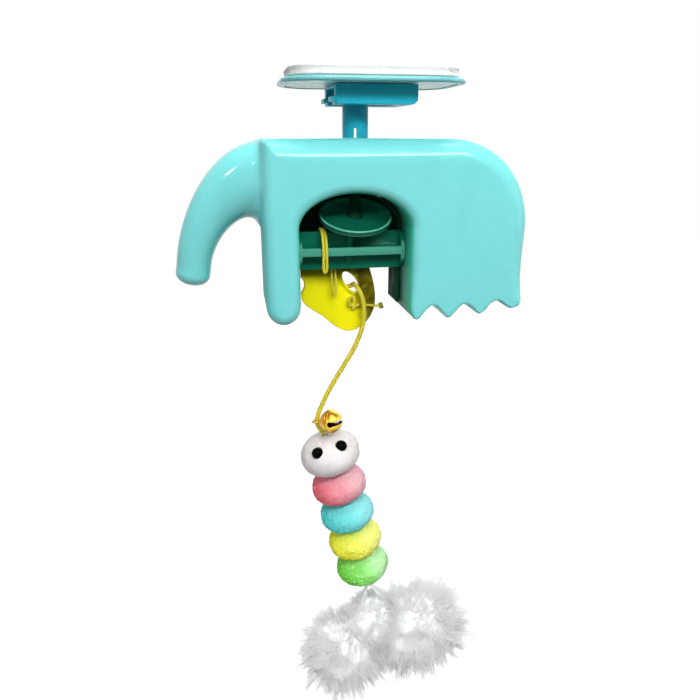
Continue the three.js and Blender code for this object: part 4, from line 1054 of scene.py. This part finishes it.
def flat_curve(name, outlines, y_middle, half, edge):
    """A plate with rounded edges and holes, from outlines in X and Z."""
    data = bpy.data.curves.new(name, "CURVE")
    data.dimensions = "2D"
    data.fill_mode = "BOTH"
    data.extrude = (half - edge) * MM
    data.bevel_depth = edge * MM
    data.bevel_resolution = 3
    data.offset = -edge * MM
    for outline in outlines:
        spline = data.splines.new("POLY")
        spline.points.add(len(outline) - 1)
        spline.use_cyclic_u = True
        for point, (x, z) in zip(spline.points, outline):
            point.co = (x * MM, z * MM, 0, 1)
    obj = link(bpy.data.objects.new(name, data))
    bpy.context.view_layer.update()
    mesh = mesh_with_modifiers(obj)
    bpy.data.objects.remove(obj)
    made = link(bpy.data.objects.new(name, mesh))
    mesh.transform(Matrix.Translation((0, y_middle * MM, 0)) @ Matrix.Rotation(math.radians(90), 4, "X"))
    bm = bmesh.new()
    bm.from_mesh(mesh)
    bmesh.ops.remove_doubles(bm, verts=bm.verts, dist=1e-6)
    bm.to_mesh(mesh)
    bm.free()
    outwards(made)
    return made


def make_tag():
    hole = tag_oval(TAG_HOLE_WIDTH, TAG_HOLE_LENGTH)
    tag = flat_curve("leaf_tag", [tag_outline(), hole], TAG_MIDDLE, TAG_HALF, TAG_EDGE)
    ring = tag_oval(TAG_HOLE_WIDTH + TAG_RIM, TAG_HOLE_LENGTH + TAG_RIM)
    line = np.column_stack([ring[:, 0], np.full(len(ring), TAG_RIM_Y), ring[:, 1]])
    rim = tube("leaf_rim", line, TAG_RIM_RADIUS, 12, closed=True)
    for obj, nodes in ((tag, ["hanging_tag"]), (rim, [])):
        put(obj, TAG)
        sharpen(obj, 45)
        seat(obj, "tag", *nodes)


make_tag()

# Bell: its mouth points at BELL_TOWARDS, and its parting plane passes through its middle
BELL_TOWARDS, BELL_PLACE = (0.75, -0.64, 0.2), (-9.9, -4.3, -125.2)
BELL_RADIUS, BELL_INNER, BELL_PARTING, BELL_BAND = 4.4, 3.9, 0.08, 0.25
SLOT_HALF, SLOT_START, SLOT_HOLE_RADIUS, SLOT_HOLE_HEIGHT = 0.8, 0.95, 1.05, 1.85
WIRE_RING_RADIUS, WIRE_RADIUS, WIRE_HEIGHT = 1.75, 0.35, 6.8


def bell_half(name, slot):
    """Half a bell with its band at the parting plane, and the slot with its round ends if it has one."""
    outer, inner, gap = BELL_RADIUS, BELL_INNER, BELL_PARTING
    angles = np.radians(np.linspace(0, 90, 17))
    shell = [(max(outer * math.sin(a), 0.02), outer * math.cos(a)) for a in angles]
    profile = [point for point in shell if point[1] > 0.75]
    band = outer + BELL_BAND
    profile += [(outer, 0.7), (band - 0.03, 0.62), (band, 0.35), (band, gap + 0.08), (band - 0.07, gap)]
    profile += [(inner, gap)]
    profile += [(max(inner * math.sin(a), 0.02), max(inner * math.cos(a), gap)) for a in angles[::-1][1:]]
    obj = lathed(name, profile, 64)
    if slot:
        boolean(obj, block("cut", (-9, -SLOT_HALF, SLOT_START), (9, SLOT_HALF, 9)))
        for side in (-1, 1):
            start, end = (side * 2.6, 0, SLOT_HOLE_HEIGHT), (side * 7, 0, SLOT_HOLE_HEIGHT)
            boolean(obj, cylinder("cut", SLOT_HOLE_RADIUS, start, end))
        place(obj, Matrix.Rotation(math.pi, 4, "X"))
    return obj


def make_bell():
    back = -Vector(BELL_TOWARDS).normalized()
    across = Vector((0, 0, 1)).cross(back).normalized()
    turn = Matrix((across, back.cross(across), back)).transposed().to_4x4()
    matrix = Matrix.Translation(from_post(BELL_PLACE)) @ turn
    t = full_turn(48)
    ring = np.column_stack([WIRE_RING_RADIUS * np.cos(t), 0 * t, WIRE_RING_RADIUS * np.sin(t) + WIRE_HEIGHT])
    parts = [
        (bell_half("bell_crown", False), "bell_upper"), (bell_half("bell_mouth", True), "bell_lower"),
        (tube("bell_wire", ring, WIRE_RADIUS, 12, closed=True), "bell_ring"),
    ]
    middle = matrix.translation * MM
    for obj, node in parts:
        place(obj, matrix)
        put(obj, GOLD)
        obj.data.materials.append(INSIDE.material)
        for face in obj.data.polygons:
            face.material_index = int((face.center - middle).length < 4.1 * MM)
        sharpen(obj, 35)
        seat(obj, "bell", node)
    dress_node("bell_pea", STEEL)


make_bell()

# Lure: its beads are measured from the middle of the head, down the leaning thread
LURE_LEAN, LURE_PLACE = 14, (-9.8, 0, -141)
LURE = Matrix.Translation(from_post(LURE_PLACE)) @ Matrix.Rotation(-math.radians(LURE_LEAN), 4, "Y")
HEAD_RADIUS, HEAD_HALF_HEIGHTS, HEAD_POWER, HEAD_TOP, HEAD_BOTTOM = 12, (8.7, 8.0), 2.1, 8.3, 7.6
EYE_RADIUS, SOCKET_RADIUS, EYE_SPREAD, EYE_HEIGHT, EYE_SINK = 2.15, 2.4, 4.8, 5.6, 0.5
BEAD_PITCH, FIRST_BEAD, BEAD_GAP = 13.6, 14.55, 0.3
BEAD_RADIUS, BEAD_HALF_HEIGHTS, BEAD_POWER, BORE_RADIUS = 11.2, (7.0, 6.8), 2.2, 1.3
# The size and the depth of a bead's grains
HEAD_GRAIN, BEAD_GRAIN = (2.2, 0.16), (0.9, 0.3)
TAIL_KNOT_DROP = 64.55
# Each foam's darker colour for its painted shade and its grains, its own colour, and a paler one for its
# painted light and its speckles
FOAM_COLOURS = {
    "pink": ((255, 104, 118), (244, 156, 168), (240, 192, 201)),
    "blue": ((86, 228, 226), (118, 230, 232), (156, 238, 240)),
    "yellow": ((252, 250, 40), (248, 250, 96), (250, 253, 142)),
    "green": ((112, 226, 44), (148, 234, 116), (198, 246, 190)),
}


def grained(p, size, depth, seed):
    """Heights of fine lumps at the points."""
    shift = Vector((seed * 7.3, seed * 3.1, seed * 5.7))
    return depth * np.array([noise.fractal(Vector(q) / size + shift, 0.6, 2.1, 3) for q in p])


def bead(name, radius, heights, cuts, centre, grain, seed, power):
    """A foam bead: a full spheroid with flats where it meets its neighbours and a bore for the thread.

    Heights and cuts are those above and below its middle.
    """
    around, up = ((144, 72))
    cut_top, cut_bottom = cuts
    s = (1 - np.cos(np.linspace(0, math.pi, up))) / 2
    z = -cut_bottom + (cut_bottom + cut_top) * s
    r = radius * np.maximum(1 - np.abs(z / np.where(z > 0, *heights)) ** power, 0) ** (1 / power)
    profile = [(BORE_RADIUS, -cut_bottom), *zip(r, z), (BORE_RADIUS, cut_top)]
    turns = full_turn(around)
    rings = np.array([level_ring(*point, turns) for point in profile])
    flat = rings[1:-1].reshape(-1, 3)
    away = flat / np.linalg.norm(flat, axis=1)[:, None]
    size, depth = grain
    height = grained(flat, size, depth, seed) + grained(flat, size * 5, depth * 0.9, seed + 4) - depth * 0.6
    rings[1:-1] = (flat + away * height[:, None]).reshape(rings[1:-1].shape)
    obj = lofted(name, rings, True, closed=True)
    place(obj, LURE @ Matrix.Translation(centre))
    return obj


def lower_left(centre, reach=10):
    """How far a point lies to the lower left of a bead's middle, towards which the foam's painted shade
    falls.
    """
    direction = Vector((-0.75, -0.1, -0.65)).normalized()
    here = (LURE @ Vector(centre)).dot(direction)
    return lambda look: look.span(look.axis(*direction), here - reach, here + reach)


def ball(name, radius, spot):
    profile = [(radius * math.cos(t), radius * math.sin(t)) for t in np.radians(np.linspace(-89, 89, 28))]
    return lathed(name, profile, 48, LURE @ Matrix.Translation(spot))


def make_head():
    cuts = (HEAD_TOP, HEAD_BOTTOM)
    head = bead("head", HEAD_RADIUS, HEAD_HALF_HEIGHTS, cuts, (0, 0, 0), HEAD_GRAIN, 1, HEAD_POWER)
    around = 1 - (EYE_SPREAD / HEAD_RADIUS) ** 2 - (EYE_HEIGHT / HEAD_HALF_HEIGHTS[0]) ** 2
    for side, name, node in ((-1, "eye_bead_left", "eye_left"), (1, "eye_bead_right", "eye_right")):
        spot = (side * EYE_SPREAD, EYE_SINK - HEAD_RADIUS * math.sqrt(around), EYE_HEIGHT)
        boolean(head, ball("socket", SOCKET_RADIUS, spot))
        seat(put(ball(name, EYE_RADIUS, spot), EYE), "lure", node)
    sharpen(head, 50)
    seat(put(head, HEAD), "lure", "head_bead")


def make_lure():
    make_head()
    for i, (name, (shade_and_grain, colour, light)) in enumerate(FOAM_COLOURS.items()):
        centre = (0, 0, -FIRST_BEAD - i * BEAD_PITCH)
        cuts = 2 * [(BEAD_PITCH - BEAD_GAP) / 2]
        name = f"foam_{name}"
        obj = bead(name, BEAD_RADIUS, BEAD_HALF_HEIGHTS, cuts, centre, BEAD_GRAIN, i + 2, BEAD_POWER)
        put(obj, foam_look(name, shade_and_grain, colour, light, lower_left(centre)))
        seat(obj, "lure", name.replace("foam", "foam_bead"))

    dress_node("core_thread", THREAD)
    spot = np.array(LURE @ Vector((0, 0, -TAIL_KNOT_DROP)))
    seat(put(trefoil("knot_under_beads", spot, 1.25, 0.62, (35, 20)), THREAD), "lure", "tail_knot")


make_lure()

# Tail: each tuft has a core, hairs and, apart from the middle one, a strap with hairs
TAIL_TOP = (6.324, 0, -205.67)
TUFTS = {
    "left": {"centre": (-3.5, 0, -238.2), "half": (20.0, 16.0, 20.0), "share": 1.1},
    "right": {"centre": (27.0, 0, -231.0), "half": (24.5, 16.0, 21.5), "share": 1.25},
    "middle": {"centre": (9.0, 0, -224.5), "half": (15.0, 12.0, 14.0), "share": 0.55},
}
HAIR_ROWS, HAIR_SIDES, HAIR_TAPER = 5, 3, 0.22
ROOT_SHARE, MIDDLE_SHARE, HAIR_LIFT, HAIR_DROOP = 0.62, 0.88, 0.9, 1.6
CORE_SHARE, CORE_LUMPS_SHARE = 0.76, 0.07
NECK_SHARE, NECK_HAIRS, NECK_SPREAD = 0.6, 140, 0.6
STRAP_OFFSET, STRAP_RADIUS, STRAP_TURN, STRAP_STEPS = 0.42, 0.45, 60, 24


def hair_mesh(name, roots, middles, tips, thick):
    """Closed tapered hairs along curves from roots past middles to tips."""
    rows, sides = HAIR_ROWS, HAIR_SIDES
    share = np.linspace(0, 1, rows)[:, None, None]
    rest = 1 - share
    lines = (rest**2 * roots + 2 * share * rest * middles + share**2 * tips).transpose(1, 0, 2)
    way = tips - roots
    side = np.cross(way, OFF_AXIS)
    side /= np.linalg.norm(side, axis=1)[:, None]
    other = np.cross(way / np.linalg.norm(way, axis=1)[:, None], side)
    per = (rows - 1) * sides + 1
    vertices = np.empty((len(roots), per, 3))
    for k in range(rows - 1):
        width = (thick * (1 - HAIR_TAPER * k))[:, None]
        for j in range(sides):
            t = 2 * math.pi * j / sides
            vertices[:, k * sides + j] = lines[:, k] + (side * math.cos(t) + other * math.sin(t)) * width
    vertices[:, -1] = tips
    pattern = [(2, 1, 0)] + loop_faces(rows - 1, sides)
    for j in range(sides):
        pattern.append(((rows - 2) * sides + j, (rows - 2) * sides + (j + 1) % sides, per - 1))
    faces = [tuple(i * per + v for v in f) for i in range(len(roots)) for f in pattern]
    return mesh_object(name, vertices.reshape(-1, 3), faces)


def tuft_hairs(centre, half, clumps, each, seed):
    """Roots, middles and tips of hairs that stand out from a tuft's middle and droop, in clumps."""
    rng = np.random.default_rng(seed)
    total = clumps * each
    owner = np.repeat(np.arange(clumps), each)
    out = rng.normal(size=(clumps, 3))
    out /= np.linalg.norm(out, axis=1)[:, None]
    swirl = rng.normal(scale=0.1, size=(clumps, 3))
    reach = rng.uniform(0.94, 1.14, clumps) + (rng.random(clumps) < 0.12) * rng.uniform(0.04, 0.14, clumps)
    roots = centre + out * half * ROOT_SHARE
    middles = centre + (out + swirl * 0.4) * half * MIDDLE_SHARE + [0, 0, HAIR_LIFT]
    tips = centre + (out + swirl) * half * reach[:, None] - [0, 0, HAIR_DROOP]
    scatter = rng.normal(size=(total, 3))
    short = rng.uniform(0.72, 1.0, total)[:, None]
    end = middles[owner] * (1 - short) + tips[owner] * short + scatter * 0.35
    end += rng.normal(scale=0.28, size=(total, 3))
    thick = rng.uniform(0.1, 0.19, total)
    return roots[owner] + scatter * 1.3, middles[owner] + scatter * 0.8, end, thick


def neck_hairs(start, goal, count, seed):
    """Short hairs round a strap, leaning down along it."""
    rng = np.random.default_rng(seed)
    share = rng.uniform(0.1, 1.0, count)[:, None]
    along = (goal - start) / np.linalg.norm(goal - start)
    out = rng.normal(size=(count, 3))
    out -= (out @ along)[:, None] * along
    out /= np.linalg.norm(out, axis=1)[:, None]
    roots = start + (goal - start) * share + out * 0.5
    spread = out * (1.2 + 4.5 * share) * rng.uniform(0.5, 1.0, (count, 1))
    tips = roots + spread + along * rng.uniform(3.5, 7.5, (count, 1))
    middles = (roots + tips) / 2 + out * 0.8
    return roots, middles, tips, rng.uniform(0.06, 0.11, count)


def fur_core(name, centre, half, seed):
    """A lumpy spheroid under the hairs."""
    shift = Vector((seed * 9, 0, 0))
    rings = []
    for t in np.radians(np.linspace(-88, 88, 36)):
        ring = level_ring(math.cos(t), math.sin(t), full_turn(72))
        lumps = np.array([noise.fractal(Vector(q) * 3.4 + shift, 0.6, 2.0, 4) for q in ring])
        rings.append(ring * (CORE_SHARE + CORE_LUMPS_SHARE * lumps)[:, None] * half + centre)
    return put(lofted(name, rings), UNDERFUR)


def make_strap(side, start, centre):
    """Two cords twisted about each other, from the tail's top into the tuft."""
    share = np.linspace(0, 0.72, STRAP_STEPS)[:, None]
    for k, phase in enumerate((0, math.pi)):
        t = share[:, 0] * STRAP_TURN + phase
        wound = np.column_stack([STRAP_OFFSET * np.cos(t), STRAP_OFFSET * np.sin(t), 0 * t])
        line = start + (centre - start) * share + wound
        strap = put(tube(f"strap_{side}_{k}", line, STRAP_RADIUS, 10, tips=0.3), STRAP)
        seat(strap, "tail", *([f"tail_strap_{side}"] if k == 0 else []))


def make_tail():
    clumps, each = ((620, 10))
    for index, (side, tuft) in enumerate(TUFTS.items()):
        centre, half = from_post(tuft["centre"]), np.array(tuft["half"])
        core = fur_core(f"tuft_core_{side}", centre, half, index)
        seat(core, "tail", *([] if side == "middle" else [f"fur_tuft_{side}"]))
        count = int(clumps * tuft["share"])
        hair = hair_mesh(f"tuft_hair_{side}", *tuft_hairs(centre, half, count, each, 31 + index))
        seat(put(hair, FUR), "tail")
        if side == "middle":
            continue
        start = from_post(TAIL_TOP) + [NECK_SPREAD if index else -NECK_SPREAD, 0, 0]
        hairs = neck_hairs(start, start + (centre - start) * NECK_SHARE, NECK_HAIRS, 51 + index)
        seat(put(hair_mesh(f"neck_hair_{side}", *hairs), FUR), "tail")
        make_strap(side, start, centre)


make_tail()

# Floor, world and lamps. Places and sizes are in metres here, power in watts.
FLOOR_HALF, FLOOR_HEIGHT, FLOOR_GREY, FLOOR_GLOW = 4.0, -0.75, 0.25, 0.9
WHITE = (1, 1, 1, 1)
# Each lamp's place, what it points at, its size, its power and, where it is narrow, its spread
LAMPS = {
    "top": ((0.05, -0.1, 0.75), (0, 0, -0.1), (0.5, 0.3), 3.2),
    "near_top": ((0.06, -0.3, 0.16), (0, 0, -0.04), (0.3, 0.06), 1.0),
    "key": ((0.08, -0.72, 0.6), (0, 0, -0.1), (0.45, 0.45), 1.2),
    "spark": ((-0.47, -0.52, 0.2), (-0.04, 0, -0.03), (0.05, 0.05), 0.6),
    "glint": ((-0.2, -0.56, 0.22), (-0.01, 0, -0.13), (0.04, 0.04), 0.25),
    "right": ((0.95, -0.25, 0.05), (0, 0, -0.12), (0.02, 0.7), 0.6),
    "tail": ((-0.14, -0.48, -0.2), (0.01, 0, -0.235), (0.12, 0.12), 0.021, 32),
    "behind": ((0.3, 0.9, 0.3), (0, 0, -0.12), (0.7, 0.5), 2.6),
}


def mixed_by_ray(tree, rays, plain, seen):
    """A mix of two shaders: seen for rays of the kinds given, and plain for all others."""
    nodes, links = tree.nodes, tree.links
    path = nodes.new("ShaderNodeLightPath")
    factor = path.outputs[rays[0]]
    for other in rays[1:]:
        either = nodes.new("ShaderNodeMath")
        either.operation = "MAXIMUM"
        links.new(factor, either.inputs[0])
        links.new(path.outputs[other], either.inputs[1])
        factor = either.outputs["Value"]
    mix = nodes.new("ShaderNodeMixShader")
    for i, source in enumerate((factor, plain.outputs[0], seen.outputs[0])):
        links.new(source, mix.inputs[i])
    return mix.outputs[0]


def make_floor():
    sides = ((-1, -1), (1, -1), (1, 1), (-1, 1))
    corners = [(x * FLOOR_HALF, y * FLOOR_HALF, FLOOR_HEIGHT) for x, y in sides]
    mesh = bpy.data.meshes.new("floor")
    mesh.from_pydata(corners, [], [(0, 1, 2, 3)])
    floor = link(bpy.data.objects.new("floor", mesh))
    material = bpy.data.materials.new("floor")
    material.use_nodes = True
    nodes, links = material.node_tree.nodes, material.node_tree.links
    shader = nodes["Principled BSDF"]
    shader.inputs["Base Color"].default_value = (FLOOR_GREY, FLOOR_GREY, FLOOR_GREY, 1)
    shader.inputs["Roughness"].default_value = 0.9
    glow = nodes.new("ShaderNodeEmission")
    glow.inputs["Color"].default_value = WHITE
    glow.inputs["Strength"].default_value = FLOOR_GLOW
    both = nodes.new("ShaderNodeAddShader")
    links.new(shader.outputs[0], both.inputs[0])
    links.new(glow.outputs[0], both.inputs[1])
    surface = mixed_by_ray(material.node_tree, ["Is Camera Ray", "Is Glossy Ray"], shader, both)
    links.new(surface, nodes["Material Output"].inputs["Surface"])
    floor.data.materials.append(material)


def make_world():
    """Soft light, strongest from above; white where the camera, gloss or glass sees it."""
    world = bpy.data.worlds.new("studio")
    bpy.context.scene.world = world
    world.use_nodes = True
    nodes, links = world.node_tree.nodes, world.node_tree.links
    nodes.clear()
    height = nodes.new("ShaderNodeSeparateXYZ")
    links.new(nodes.new("ShaderNodeTexCoord").outputs["Generated"], height.inputs[0])
    level = nodes.new("ShaderNodeMapRange")
    for name, value in (("From Min", -0.7), ("From Max", 0.9), ("To Min", 0.02), ("To Max", 0.52)):
        level.inputs[name].default_value = value
    links.new(height.outputs["Z"], level.inputs["Value"])
    plain, white = nodes.new("ShaderNodeBackground"), nodes.new("ShaderNodeBackground")
    for background in (plain, white):
        background.inputs["Color"].default_value = WHITE
    links.new(level.outputs["Result"], plain.inputs["Strength"])
    white.inputs["Strength"].default_value = 1.0
    rays = ["Is Camera Ray", "Is Transmission Ray", "Is Glossy Ray"]
    surface = mixed_by_ray(world.node_tree, rays, plain, white)
    links.new(surface, nodes.new("ShaderNodeOutputWorld").inputs["Surface"])


def area_light(name, at, to, size, power, spread=180):
    data = bpy.data.lights.new(name, "AREA")
    data.shape = "RECTANGLE"
    data.size, data.size_y = size
    data.energy = power
    data.spread = math.radians(spread)
    lamp = link(bpy.data.objects.new(name, data))
    lamp.location = Vector(at)
    lamp.rotation_mode = "QUATERNION"
    lamp.rotation_quaternion = (Vector(to) - Vector(at)).to_track_quat("-Z", "Y")


make_floor()
make_world()
for name, lamp in LAMPS.items():
    area_light(name, *lamp)

bpy.context.scene.view_settings.view_transform = "Standard"
